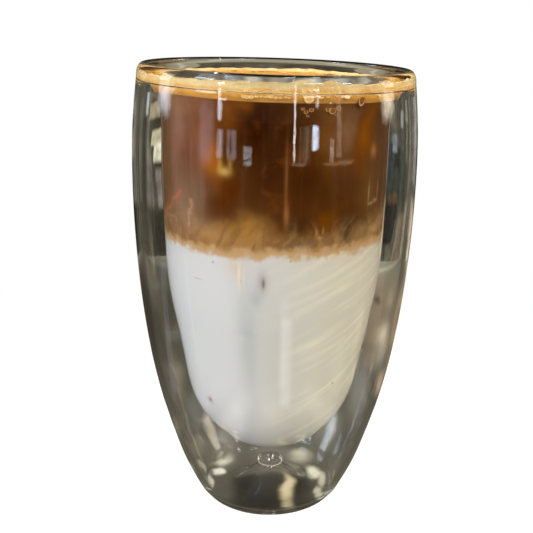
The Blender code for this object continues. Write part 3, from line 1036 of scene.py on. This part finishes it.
def clear_finish(name, tint, roughness, refraction):
    """Clear glass or silicone, with faint ripples. Lamps shine through it."""
    material, nodes, shader = finish(name)
    shader.inputs["Base Color"].default_value = (*tint, 1.0)
    shader.inputs["Roughness"].default_value = roughness
    shader.inputs["IOR"].default_value = refraction
    shader.inputs["Transmission Weight"].default_value = 1.0
    ripples = nodes.add("Group", node_tree=group_named("Glass Ripples", glass_ripples))
    bump = nodes.add("Bump", {"Height": ripples.outputs["Relief"], "Strength": 0.05, "Distance": 0.0002})
    nodes.set(shader.inputs["Normal"], bump.outputs["Normal"])
    lamp = nodes.add("LightPath").outputs["Is Shadow Ray"]
    through = nodes.add("BsdfTransparent", {"Color": tint})
    either = nodes.add("MixShader", {"Fac": lamp})
    nodes.set(either.inputs[1], shader.outputs[0])
    nodes.set(either.inputs[2], through.outputs[0])
    nodes.set(material.node_tree.nodes["Material Output"].inputs["Surface"], either.outputs[0])
    return material


def drink_finish(name):
    """Milk or coffee against the glass."""
    material, nodes, shader = finish(name)
    colours = nodes.add("Group", node_tree=group_named("Drink Colours", drink_colours))
    nodes.set(shader.inputs["Base Color"], colours.outputs["Color"])
    shader.inputs["Roughness"].default_value = 0.4
    shader.inputs["Specular IOR Level"].default_value = 0.0
    return material


def foam_finish(name):
    """Fine golden foam."""
    material, nodes, shader = finish(name)
    colours = nodes.add("Group", node_tree=group_named("Crema Colours", crema_colours))
    nodes.set(shader.inputs["Base Color"], colours.outputs["Color"])
    shader.inputs["Roughness"].default_value = 0.5
    shader.inputs["Specular IOR Level"].default_value = 0.3
    bump = nodes.add("Bump", {"Height": colours.outputs["Relief"], "Strength": 0.4, "Distance": 0.0001})
    nodes.set(shader.inputs["Normal"], bump.outputs["Normal"])
    return material


def bubble_finish(name, stops, crema_share):
    """A bubble: colours by distance from its middle, with painted highlights and painted shade at its
    outline, and some of the foam's colour.
    """
    material, nodes, shader = finish(name)
    from_middle = nodes.add("Attribute", attribute_name="from_middle").outputs["Fac"]
    crema = nodes.add("Group", node_tree=group_named("Crema Colours", crema_colours)).outputs["Color"]
    colour = nodes.ramp(from_middle, [(place, tone(*shade)) for place, shade in stops])
    nodes.set(shader.inputs["Base Color"], nodes.mix(crema_share, colour, crema))
    shader.inputs["Roughness"].default_value = 0.12
    shader.inputs["Specular IOR Level"].default_value = 0.6
    return material


def ball(centre, outward, radius, depth, tall=1.0, steps=(14, 9)):
    """Points, faces and distances from the middle of a ball flattened along outward."""
    around, rings = steps
    outward = Vector(outward).normalized()
    up = Vector((0, 0, 1)) if abs(outward.z) < 0.7 else Vector((1, 0, 0))
    across = up.cross(outward).normalized()
    up = outward.cross(across)
    points, middle_distance = [], []
    for ring in range(1, rings):
        slope = math.pi * ring / rings
        for step in range(around):
            turn = 2 * math.pi * step / around
            flat = across * math.cos(turn) + up * (math.sin(turn) * tall)
            sideways = flat * (radius * math.sin(slope))
            points.append(Vector(centre) + sideways + outward * (depth * math.cos(slope)))
            middle_distance.append(math.sin(slope))
    points += [Vector(centre) + outward * depth, Vector(centre) - outward * depth]
    middle_distance += [0.0, 0.0]
    faces = []
    near, far = len(points) - 2, len(points) - 1
    for step in range(around):
        after = (step + 1) % around
        faces.append((near, step, after))
        for ring in range(rings - 2):
            a, b = ring * around, (ring + 1) * around
            faces.append((a + step, b + step, b + after, a + after))
        last = (rings - 2) * around
        faces.append((far, last + after, last + step))
    return points, faces, middle_distance


def joined(name, shapes, material):
    """One mesh of many shapes, with each point's distance from its own shape's middle."""
    points, faces, from_middle = [], [], []
    for shape_points, shape_faces, distances in shapes:
        base = len(points)
        points += [tuple(p) for p in shape_points]
        faces += [tuple(base + i for i in face) for face in shape_faces]
        from_middle += distances
    piece = mesh_piece(name, points, faces, material)
    attribute = piece.data.attributes.new("from_middle", "FLOAT", "POINT")
    attribute.data.foreach_set("value", np.array(from_middle, np.float32))
    return piece


def on_wall(direction_degrees, height, inset=0.0):
    """A place on the drink's side, and the way out from the axis there."""
    turn = math.radians(direction_degrees)
    outward = Vector((math.sin(turn), -math.cos(turn), 0.0))
    radius = float(drink_radius(height)) - inset
    return outward * radius + Vector((0, 0, height)), outward


def wall_bubble(direction_degrees, height_mm, radius_mm, tall=1.0):
    """A bubble pressed against the wall."""
    centre, outward = on_wall(direction_degrees, height_mm / 1000, 0.00002)
    return ball(centre, outward, radius_mm / 1000, min(0.3 * radius_mm, 0.4) / 1000, tall)


class LATTE_OT_glass(bpy.types.Operator):
    """Blow the double-walled glass, with its join rings and slow ripples"""

    bl_idname = "latte.glass"
    bl_label = "Glass"

    def execute(self, context):
        settings = context.scene.latte_glass
        turns = TURNS[:, None]
        rows = []
        for phase, (name, stretch) in enumerate(glass_stretches().items()):
            radii = np.repeat(stretch[None, :, 0], SIDES, axis=0)
            heights = np.repeat(stretch[None, :, 1], SIDES, axis=0)
            if name in ("cup", "shell", "space_outside", "space_inside"):
                share = np.linspace(0, 1, len(stretch))
                fade = np.clip(5 * np.minimum(share, 1 - share), 0, 1)
                radii = radii + settings.waviness * fade * ripple(turns, heights, phase + 1.0)
            if name == "shell":
                radii = radii + join_rings(turns, heights)
            rows.append(np.stack([radii, heights], axis=2))
        outlines = np.concatenate(rows, axis=1)
        material = clear_finish("Clear Glass", settings.tint, 0.0, settings.refraction)
        put(turned_body("glass_walls", outlines, material, EDGE_ANGLE), "glass", "glass")
        return {"FINISHED"}


class LATTE_OT_vent_seal(bpy.types.Operator):
    """Close the vent in the base with its small seal"""

    bl_idname = "latte.vent_seal"
    bl_label = "Vent seal"

    def execute(self, context):
        head_base = float(space_floor(0.0)) + SEAL_GAP
        stem = VENT_RADIUS - SEAL_GAP
        head = arc((0.0, head_base), (SEAL_HEAD_RADIUS, SEAL_HEAD_HEIGHT), 90, 0, SEAL_HEAD_POINTS)
        head[0, 0] = 0.0
        stem_end = PUNT_HEIGHT + SEAL_STEM_START
        outline = np.concatenate([head, [(stem, head_base), (stem, stem_end), (0.0, stem_end)]])
        outlines = np.repeat(outline[None], SIDES // 3, axis=0)
        material = clear_finish("Clear Silicone", (0.9, 0.89, 0.88), 0.08, 1.42)
        put(turned_body("stopper", outlines, material, EDGE_ANGLE), "vent_seal", "vent_seal")
        material, _, shader = finish("Seal Edge")
        shader.inputs["Base Color"].default_value = (*tone(160, 154, 140), 1.0)
        shader.inputs["Roughness"].default_value = 0.4
        ring = ring_piece("seal_edge", SEAL_HEAD_RADIUS, SEAL_EDGE, head_base + SEAL_EDGE, material)
        put(ring, "vent_seal", "vent_seal")
        return {"FINISHED"}


class LATTE_OT_milk(bpy.types.Operator):
    """Pour the milk into the round bottom of the cup"""

    bl_idname = "latte.milk"
    bl_label = "Milk"

    def execute(self, context):
        upper = surface(milk_top, LAYER_RINGS)
        low_level = MILK_LEVEL - 4 * MILK_TILT
        face = drink_face()
        below = along(face[face[:, 1] < low_level], MILK_BELOW_POINTS)[::-1]
        middle = side(upper[:, -1, 1], np.full(SIDES, below[0, 1]), MILK_EDGE_POINTS)
        below = np.repeat(below[None], SIDES, axis=0)
        outlines = np.concatenate([upper, middle, below], axis=1)
        put(turned_body("milk_layer", outlines, drink_finish("Milk"), EDGE_ANGLE), "milk", "milk")
        return {"FINISHED"}


class LATTE_OT_coffee(bpy.types.Operator):
    """Pour the coffee onto the milk"""

    bl_idname = "latte.coffee"
    bl_label = "Coffee"

    def execute(self, context):
        outlines = layer_outlines(coffee_top, milk_top, COFFEE_SIDE_POINTS, LAYER_RINGS)
        put(turned_body("coffee_layer", outlines, drink_finish("Coffee"), EDGE_ANGLE), "coffee", "coffee")
        return {"FINISHED"}


class LATTE_OT_foam(bpy.types.Operator):
    """Lay the golden foam on the coffee"""

    bl_idname = "latte.foam"
    bl_label = "Foam"

    def execute(self, context):
        outlines = layer_outlines(foam_top, coffee_top, FOAM_SIDE_POINTS, FOAM_RINGS)
        put(turned_body("foam_layer", outlines, foam_finish("Foam"), EDGE_ANGLE), "foam", "foam")
        return {"FINISHED"}


class LATTE_OT_foam_bubbles(bpy.types.Operator):
    """Scatter bubbles on top of the foam and press some against the glass"""

    bl_idname = "latte.foam_bubbles"
    bl_label = "Foam bubbles"

    def execute(self, context):
        draw = np.random.default_rng(BUBBLE_SEED)
        shapes = [wall_bubble(*row) for row in LARGE_FOAM_BUBBLES]
        for first, last, step, shift, level, (low, high), radii in FOAM_BUBBLE_ROWS:
            for direction in np.arange(first, last, step):
                height = level + draw.uniform(low, high)
                direction += draw.uniform(-shift, shift)
                shapes.append(wall_bubble(direction, height, draw.uniform(*radii)))
        count, directions, heights, radii = SCATTERED_BUBBLES
        for direction in draw.uniform(*directions, count):
            shapes.append(wall_bubble(direction, draw.uniform(*heights), draw.uniform(*radii)))
        for _ in range(context.scene.latte_drink.top_bubbles):
            shapes.append(self.top_bubble(draw))
        material = bubble_finish("Foam Bubbles", FOAM_BUBBLE_TONES_AND_PAINTED_LIGHT, 0.2)
        put(joined("foam_bubbles", shapes, material), "foam", "foam")
        return {"FINISHED"}

    @staticmethod
    def top_bubble(draw):
        """One bubble somewhere on the foam's surface."""
        turn = draw.uniform(0, 2 * math.pi)
        share = draw.uniform(0, 1) ** TOP_BUBBLE_CROWDING * TOP_BUBBLE_REACH
        radius = draw.uniform(*TOP_BUBBLE_RADII)
        if draw.uniform() > TOP_BUBBLE_SMALL_SHARE:
            radius *= TOP_BUBBLE_LARGER
        distance = share * float(drink_radius(FOAM_LEVEL))
        height = float(foam_top(turn, share)) - TOP_BUBBLE_SUNK * radius
        centre = (distance * math.sin(turn), -distance * math.cos(turn), height)
        return ball(centre, (0, 0, 1), radius, TOP_BUBBLE_FLATNESS * radius, steps=(10, 7))


class LATTE_OT_coffee_bubbles(bpy.types.Operator):
    """Press a few bubbles in the coffee against the glass, under the foam"""

    bl_idname = "latte.coffee_bubbles"
    bl_label = "Coffee bubbles"

    def execute(self, context):
        shapes = [wall_bubble(*row) for row in COFFEE_BUBBLES]
        material = bubble_finish("Coffee Bubbles", COFFEE_BUBBLE_TONES_AND_PAINTED_LIGHT, 0.0)
        put(joined("coffee_bubbles", shapes, material), "coffee", "coffee")
        return {"FINISHED"}


# Soft boxes in front, which the glass mirrors: direction, elevation, half width, half height and
# softness, all in degrees, then brightness and tone. Later rows lie over earlier ones.
FRONT_BOXES = (
    (-100, 12, 5, 10, 3, 6.0, (220, 228, 240)),
    (100, 12, 5, 10, 3, 6.0, (240, 228, 205)),
    (-72, -3, 12, 9, 6, 0.5, (190, 160, 162)),
    (-56, -0.5, 4, 4, 3, 1.6, (200, 190, 215)),
    (-44.3, 11.4, 2.4, 2.4, 0.7, 34.0, (236, 242, 250)),
    (-45.2, 6.2, 0.9, 3.0, 0.5, 14.0, (225, 232, 245)),
    (-44, -1.9, 1.6, 2.8, 0.6, 4.6, (205, 208, 220)),
    (-34.6, -1.8, 3.2, 3.0, 0.6, 3.0, (190, 188, 200)),
    (-35.4, -1.8, 0.5, 3.0, 0.4, 0.5, (120, 90, 80)),
    (-21.8, -3.9, 2.8, 1.7, 0.6, 3.6, (205, 210, 218)),
    (-21.8, -4.9, 3.0, 0.12, 0.1, 0.5, (120, 90, 80)),
    (14.0, 6.5, 0.45, 11.0, 0.4, 12.0, (240, 232, 228)),
    (21.8, -1.0, 4.0, 3.8, 0.4, 1.5, (130, 150, 128)),
    (20.0, -1.0, 0.35, 3.8, 0.2, 0.4, (80, 70, 60)),
    (24.0, -1.0, 0.3, 3.8, 0.2, 3.0, (170, 180, 180)),
    (30.2, 0.4, 2.2, 2.5, 0.3, 13.0, (212, 228, 248)),
    (31.6, 9.6, 0.5, 3.6, 0.4, 8.0, (235, 235, 235)),
    (17.8, -5.4, 5.8, 0.28, 0.15, 3.2, (160, 142, 132)),
    (50.0, -5.5, 12.5, 0.26, 0.2, 3.6, (176, 142, 108)),
    (43.9, 9.4, 0.6, 2.6, 0.5, 9.0, (235, 228, 220)),
    (43.9, -2.5, 0.5, 2.2, 0.4, 7.0, (230, 215, 200)),
    (49.9, 4.0, 0.7, 8.0, 0.6, 3.4, (225, 205, 190)),
    (-64, 27, 8, 3, 2, 16.0, (205, 222, 245)),
    (30, 27, 7, 2.5, 1.5, 12.0, (245, 242, 235)),
    (60, 24, 3, 2.5, 1.0, 22.0, (250, 248, 240)),
)
# Soft tones behind, which show through the clear glass at both sides, with the same values
BACK_BOXES = (
    (-154, -8.5, 3.2, 3.6, 1.5, 1.0, (136, 132, 120)),
    (-161.2, -10.5, 1.4, 3.8, 1.2, 1.0, (48, 44, 34)),
    (-165.2, -10.6, 0.7, 1.9, 0.6, 1.0, (122, 112, 104)),
    (-168.6, -11.4, 0.7, 1.0, 0.6, 1.0, (142, 134, 122)),
    (-167, -4.6, 3.4, 0.5, 0.4, 1.0, (130, 122, 110)),
    (-163.2, -5.2, 0.5, 0.7, 0.4, 1.2, (200, 205, 205)),
    (-166.4, -6.1, 1.3, 0.35, 0.4, 1.0, (194, 178, 144)),
    (-168.0, -8.0, 1.8, 0.32, 0.35, 1.1, (214, 204, 168)),
    (-169.6, -9.0, 2.4, 0.42, 0.4, 1.1, (246, 242, 212)),
    (-166, -14.6, 14, 1.4, 0.9, 1.0, (54, 51, 40)),
    (153, -6, 2.6, 4.2, 1.6, 1.0, (182, 176, 168)),
    (165.5, -10.2, 3.4, 1.6, 0.7, 1.0, (54, 64, 55)),
    (168, -9.2, 1.6, 0.9, 0.5, 1.0, (60, 64, 66)),
    (166.4, -9.0, 0.6, 0.5, 0.4, 1.0, (36, 35, 32)),
    (164.2, -6.0, 0.5, 0.4, 0.4, 1.1, (184, 185, 178)),
    (160.4, -5.0, 1.0, 0.7, 0.5, 1.0, (174, 168, 158)),
    (167.2, -8.0, 0.45, 0.5, 0.3, 1.0, (140, 150, 156)),
    (167, -11.9, 0.9, 0.35, 0.3, 1.0, (106, 82, 56)),
    (168.2, -13.4, 2.0, 1.1, 0.5, 1.0, (31, 30, 25)),
    (161, -14.8, 3.6, 1.5, 0.8, 1.0, (148, 130, 106)),
    (154.5, -14.6, 3.0, 1.7, 1.6, 1.1, (208, 192, 164)),
)


def surroundings(name):
    """Group: what the glass mirrors and bends, for a way that light comes from: calm dark tones with
    soft boxes of light. The camera never sees it straight."""
    nodes, start, end = group(name, [("Way", "Vector")], [("Color", "Color")])
    way = start.outputs["Way"]
    level = Place(nodes, way)
    apart = nodes.add("SeparateXYZ", {"Vector": way})
    elevation = nodes.math("DEGREES", nodes.math("ARCSINE", apart.outputs["Z"]))
    place = Place(nodes, way, level.direction, elevation)
    upright = nodes.vector(
        nodes.math("DIVIDE", place.direction, 2.6), nodes.math("DIVIDE", elevation, 26.0)
    )
    stripes = nodes.noise(upright, 1.0, 3.0)
    behind = nodes.ramp(
        stripes, [(0.32, tone(50, 47, 37)), (0.5, tone(84, 79, 66)), (0.68, tone(124, 118, 102))]
    )
    from_front = nodes.math("ABSOLUTE", place.direction)
    colour = nodes.mix(nodes.between(from_front, 92, 130), tone(13, 12, 10), behind)
    colour = nodes.mix(nodes.between(elevation, 22, 50), colour, tone(120, 115, 100))
    colour = place.boxes(BACK_BOXES, colour)
    colour = place.stirred(42, 0.45, 0.45).boxes(FRONT_BOXES, colour)
    mottled = nodes.between(nodes.noise(way, 55, 4.0, 0.6), 0.3, 0.7, 0.62, 1.3)
    broken = nodes.add("Mix", data_type="RGBA", blend_type="MULTIPLY")
    for index, value in ((0, 1.0), (6, colour), (7, mottled)):
        nodes.set(broken.inputs[index], value)
    nodes.set(end.inputs["Color"], broken.outputs[2])
    return nodes.tree


def paint_world(settings):
    """A pale backdrop for the camera. Rays that the glass mirrors or bends meet the surroundings."""
    world = bpy.data.worlds.new("Studio")
    bpy.context.scene.world = world
    world.use_nodes = True
    nodes = Nodes(world.node_tree)
    for node in list(world.node_tree.nodes):
        world.node_tree.nodes.remove(node)
    around = nodes.add("Group", node_tree=group_named("Surroundings", surroundings))
    nodes.set(around.inputs["Way"], nodes.add("TexCoord").outputs["Generated"])
    seen = nodes.add("LightPath").outputs["Is Camera Ray"]
    pale = nodes.add("Background", {"Color": settings.backdrop})
    dark = nodes.add("Background", {"Color": around.outputs["Color"]})
    either = nodes.add("MixShader", {"Fac": seen})
    nodes.set(either.inputs[1], dark.outputs[0])
    nodes.set(either.inputs[2], pale.outputs[0])
    nodes.set(nodes.add("OutputWorld").inputs["Surface"], either.outputs[0])


# Tones that the glass shows of the floor, painted light among them: place to the right and behind, half
# width, half depth and evenness, in mm, then strength and tone. Later rows lie over earlier ones.
FLOOR_TONES_AND_PAINTED_LIGHT = (
    (0, 275, 260, 62, 3.0, 1.0, (158, 152, 128)),
    (0, 262, 220, 7, 2.0, 0.8, (206, 200, 180)),
    (0, -58, 16, 22, 1.5, 0.95, (250, 236, 212)),
    (-36, -51, 13, 20, 1.5, 0.95, (300, 286, 268)),
    (-70, -33, 15, 20, 1.5, 0.95, (200, 202, 204)),
    (-103, 3, 22, 22, 1.5, 0.95, (180, 174, 156)),
    (28, -54, 10, 18, 1.5, 0.95, (204, 202, 192)),
    (52, -44, 15, 20, 1.5, 0.95, (290, 290, 276)),
    (93, -13, 26, 22, 1.5, 0.95, (240, 238, 226)),
    (136, 53, 28, 28, 1.5, 0.95, (220, 212, 190)),
    (-120, 150, 70, 130, 1.5, 1.0, (60, 56, 48)),
    (-95, 240, 40, 35, 1.0, 0.9, (86, 82, 74)),
    (105, 170, 55, 80, 2.0, 1.0, (152, 134, 108)),
    (82, 136, 13, 13, 1.0, 0.9, (236, 212, 172)),
    (107, 187, 11, 15, 1.0, 0.8, (198, 178, 146)),
    (77, 200, 4, 8, 1.0, 0.8, (56, 49, 40)),
    (66, 108, 12, 16, 1.5, 0.8, (162, 144, 120)),
    (76, 62, 12, 14, 1.5, 0.9, (208, 186, 152)),
    (-61, 142, 6, 12, 1.0, 0.7, (122, 116, 104)),
    (-53, 90, 5, 12, 1.0, 0.8, (126, 118, 104)),
    (-45, 74, 7, 7, 1.0, 0.6, (84, 78, 68)),
    (-52, 29, 6, 8, 1.0, 0.8, (157, 146, 126)),
    (-31, 46, 4, 4, 1.0, 0.7, (142, 134, 114)),
    (-31, 26, 5, 8, 1.0, 0.8, (150, 140, 120)),
    (-21, 35, 3, 3, 1.0, 0.8, (146, 146, 140)),
    (-29, 9, 3, 4, 2.0, 0.9, (208, 196, 170)),
    (-22, 14, 3, 3, 1.0, 0.6, (144, 136, 118)),
    (36, 24, 5, 12, 1.0, 0.7, (84, 78, 66)),
    (27, 8, 4, 8, 1.0, 0.6, (138, 130, 112)),
    (0, 21, 12, 6, 1.5, 0.7, (106, 102, 92)),
    # Painted pools of light round the glass's base, in the next seven rows
    (-17, 14.0, 3.0, 3.2, 1.5, 0.9, (226, 222, 194)),
    (11.5, 19, 3.4, 5, 1.0, 0.9, (214, 205, 178)),
    (15.5, 6, 3.4, 5.4, 2.5, 1.0, (250, 244, 214)),
    (19.5, 1, 1.8, 5.5, 2.0, 0.9, (240, 232, 204)),
    (17.6, -7, 1.8, 3.0, 2.0, 0.9, (240, 234, 204)),
    (-18.0, 6.4, 3.0, 3.2, 2.5, 1.0, (255, 254, 230)),
    (-22.6, -1.5, 2.2, 4.4, 2.5, 1.0, (255, 252, 230)),
    # Painted shadow of the glass under its base, in the next two rows
    (1, -4, 14.5, 13.5, 4.0, 1.0, (22, 19, 12)),
    (-5, -3, 7.5, 10, 1.5, 0.9, (8, 7, 5)),
    # Painted highlight: a warm streak under the base
    (6.6, -3, 2.0, 11, 1.5, 0.9, (246, 226, 180)),
)
# Strips of light on the floor, which stand upright in the glass: direction and distance, half width
# and half length, softness, brightness and tone
FLOOR_STRIPS = (
    (11, 128, 1.4, 44, 5.0, 1.4, (240, 238, 232)),
    (-97, 190, 0.8, 100, 2.0, 0.7, (205, 215, 222)),
    (97, 190, 0.8, 100, 2.0, 0.6, (220, 205, 180)),
)


FLOOR_SIDES = 96
FLOOR_RADIUS = 0.30
WHITE = (1.0, 1.0, 1.0)
WARM_WHITE = (1.0, 0.97, 0.93)
# The soft lamps: name, place, size and colour
LAMPS = (
    ("key", (-0.55, -0.75, 0.45), 0.8, WHITE),
    ("fill", (0.6, -0.7, 0.35), 0.8, WARM_WHITE),
    ("left", (-0.95, 0.05, 0.3), 0.7, WHITE),
    ("right", (0.95, 0.05, 0.3), 0.7, WARM_WHITE),
    ("top", (0.0, 0.1, 0.95), 0.7, WHITE),
    ("back", (0.1, 0.9, 0.4), 0.8, WHITE),
)


def bent_floor(nodes, vector):
    """The floor's glowing colour where the glass mirrors it or bends the view of it, with a painted shadow of
    the glass, painted pools of light and a painted highlight.
    """
    round_it = Place(nodes, vector)
    apart = nodes.add("SeparateXYZ", {"Vector": vector})
    right = nodes.math("MULTIPLY", apart.outputs["X"], 1000.0)
    behind = nodes.math("MULTIPLY", apart.outputs["Y"], 1000.0)
    place = Place(nodes, vector, right, behind)
    colour = place.stirred(60, 1.6, 1.6).painted(FLOOR_TONES_AND_PAINTED_LIGHT, tone(94, 89, 76))
    distance = nodes.add("VectorMath", {0: vector}, operation="LENGTH").outputs["Value"]
    far = nodes.math("MULTIPLY", distance, 1000.0)
    return Place(nodes, vector, round_it.direction, far).boxes(FLOOR_STRIPS, colour)


def floor_finish(settings):
    """Pale for the camera, melting into the backdrop. Where the glass bends the view it glows, mostly darker,
    with a painted shadow of the glass and painted light.
    """
    material, nodes, shader = finish("Pale Floor")
    shader.inputs["Base Color"].default_value = (*settings.floor, 1.0)
    shader.inputs["Roughness"].default_value = 0.9
    shader.inputs["Specular IOR Level"].default_value = 0.0
    vector = nodes.add("TexCoord").outputs["Object"]
    distance = nodes.add("VectorMath", {0: vector}, operation="LENGTH").outputs["Value"]
    far = nodes.between(distance, 0.10, 0.26)
    backdrop = nodes.add("Emission", {"Color": settings.backdrop})
    melt = nodes.add("MixShader", {"Fac": far})
    nodes.set(melt.inputs[1], shader.outputs[0])
    nodes.set(melt.inputs[2], backdrop.outputs[0])
    bent_floor_glow = nodes.add("Emission", {"Color": bent_floor(nodes, vector)})
    seen = nodes.add("LightPath").outputs["Is Camera Ray"]
    either = nodes.add("MixShader", {"Fac": seen})
    nodes.set(either.inputs[1], bent_floor_glow.outputs[0])
    nodes.set(either.inputs[2], melt.outputs[0])
    nodes.set(material.node_tree.nodes["Material Output"].inputs["Surface"], either.outputs[0])
    return material


def lay_floor(settings):
    """A round floor under the glass."""
    points = [(0.0, 0.0, 0.0)]
    for i in range(FLOOR_SIDES):
        turn = 2 * math.pi * i / FLOOR_SIDES
        points.append((FLOOR_RADIUS * math.sin(turn), FLOOR_RADIUS * math.cos(turn), 0.0))
    faces = [(0, 1 + (i + 1) % FLOOR_SIDES, 1 + i) for i in range(FLOOR_SIDES)]
    floor = mesh_piece("floor", points, faces, floor_finish(settings))


def hang_lamp(name, place, size, power, colour):
    """A soft lamp that looks at the glass, and that neither the camera nor the glass sees."""
    lamp = bpy.data.lights.new(name, "AREA")
    lamp.shape = "SQUARE"
    lamp.size = size
    lamp.energy = power
    lamp.color = colour
    thing = bpy.data.objects.new(name, lamp)
    bpy.context.scene.collection.objects.link(thing)
    thing.location = place
    aim = Vector((0.0, 0.0, HEIGHT / 2)) - Vector(place)
    thing.rotation_euler = aim.to_track_quat("-Z", "Y").to_euler()
    thing.visible_camera = False
    thing.visible_glossy = False
    thing.visible_transmission = False


def set_camera():
    """The camera looks down at the glass from in front, close by."""
    data = bpy.data.cameras.new("camera")
    data.sensor_width = CAMERA_FILM
    data.lens = CAMERA_LENS
    data.shift_x = CAMERA_SHIFT
    data.clip_start = 0.01
    down, right, roll = (math.radians(v) for v in (CAMERA_DOWN, CAMERA_TO_RIGHT, CAMERA_ROLL))
    forward = Vector((math.sin(right) * math.cos(down), math.cos(right) * math.cos(down), -math.sin(down)))
    across = Vector((math.cos(right), -math.sin(right), 0.0))
    upward = across.cross(forward)
    x_axis = across * math.cos(roll) + upward * math.sin(roll)
    y_axis = upward * math.cos(roll) - across * math.sin(roll)
    camera = bpy.data.objects.new("camera", data)
    turned = Matrix((x_axis, y_axis, -forward)).transposed().to_4x4()
    camera.matrix_world = Matrix.Translation(CAMERA_PLACE) @ turned
    bpy.context.scene.collection.objects.link(camera)
    bpy.context.scene.camera = camera


class LATTE_OT_stage(bpy.types.Operator):
    """Set the pale floor, the soft lamps, what the glass mirrors, and the camera"""

    bl_idname = "latte.stage"
    bl_label = "Stage"

    def execute(self, context):
        settings = context.scene.latte_stage
        set_camera()
        paint_world(settings)
        lay_floor(settings)
        for name, place, size, colour in LAMPS:
            power = getattr(settings, name + "_power")
            hang_lamp(name + "_lamp", place, size, power, colour)
        context.scene.view_settings.view_transform = "Standard"
        context.scene.cycles.max_bounces = 20
        context.scene.cycles.transmission_bounces = 20
        context.scene.cycles.glossy_bounces = 8
        return {"FINISHED"}


OPERATORS = (
    LATTE_OT_glass,
    LATTE_OT_vent_seal,
    LATTE_OT_milk,
    LATTE_OT_coffee,
    LATTE_OT_foam,
    LATTE_OT_foam_bubbles,
    LATTE_OT_coffee_bubbles,
    LATTE_OT_stage,
)


class LATTE_PT_pieces(bpy.types.Panel):
    """Lists the pieces and their settings."""

    bl_label = "Latte"
    bl_space_type = "VIEW_3D"
    bl_region_type = "UI"
    bl_category = "Latte"

    def draw(self, context):
        column = self.layout.column()
        for operator in OPERATORS:
            column.operator(operator.bl_idname)
        for settings in (context.scene.latte_glass, context.scene.latte_drink, context.scene.latte_stage):
            box = self.layout.box()
            for name in settings.__annotations__:
                box.prop(settings, name)


SETTINGS = (
    ("latte_glass", LatteGlassSettings),
    ("latte_drink", LatteDrinkSettings),
    ("latte_stage", LatteStageSettings),
)


def register():
    for name, settings in SETTINGS:
        bpy.utils.register_class(settings)
        setattr(bpy.types.Scene, name, PointerProperty(type=settings))
    for operator in OPERATORS:
        bpy.utils.register_class(operator)
    bpy.utils.register_class(LATTE_PT_pieces)


def unregister():
    bpy.utils.unregister_class(LATTE_PT_pieces)
    for operator in reversed(OPERATORS):
        bpy.utils.unregister_class(operator)
    for name, settings in reversed(SETTINGS):
        delattr(bpy.types.Scene, name)
        bpy.utils.unregister_class(settings)


def main():
    register()
    bpy.ops.latte.glass()
    bpy.ops.latte.vent_seal()
    bpy.ops.latte.milk()
    bpy.ops.latte.coffee()
    bpy.ops.latte.foam()
    bpy.ops.latte.foam_bubbles()
    bpy.ops.latte.coffee_bubbles()
    bpy.ops.latte.stage()


if __name__ == "__main__":
    main()
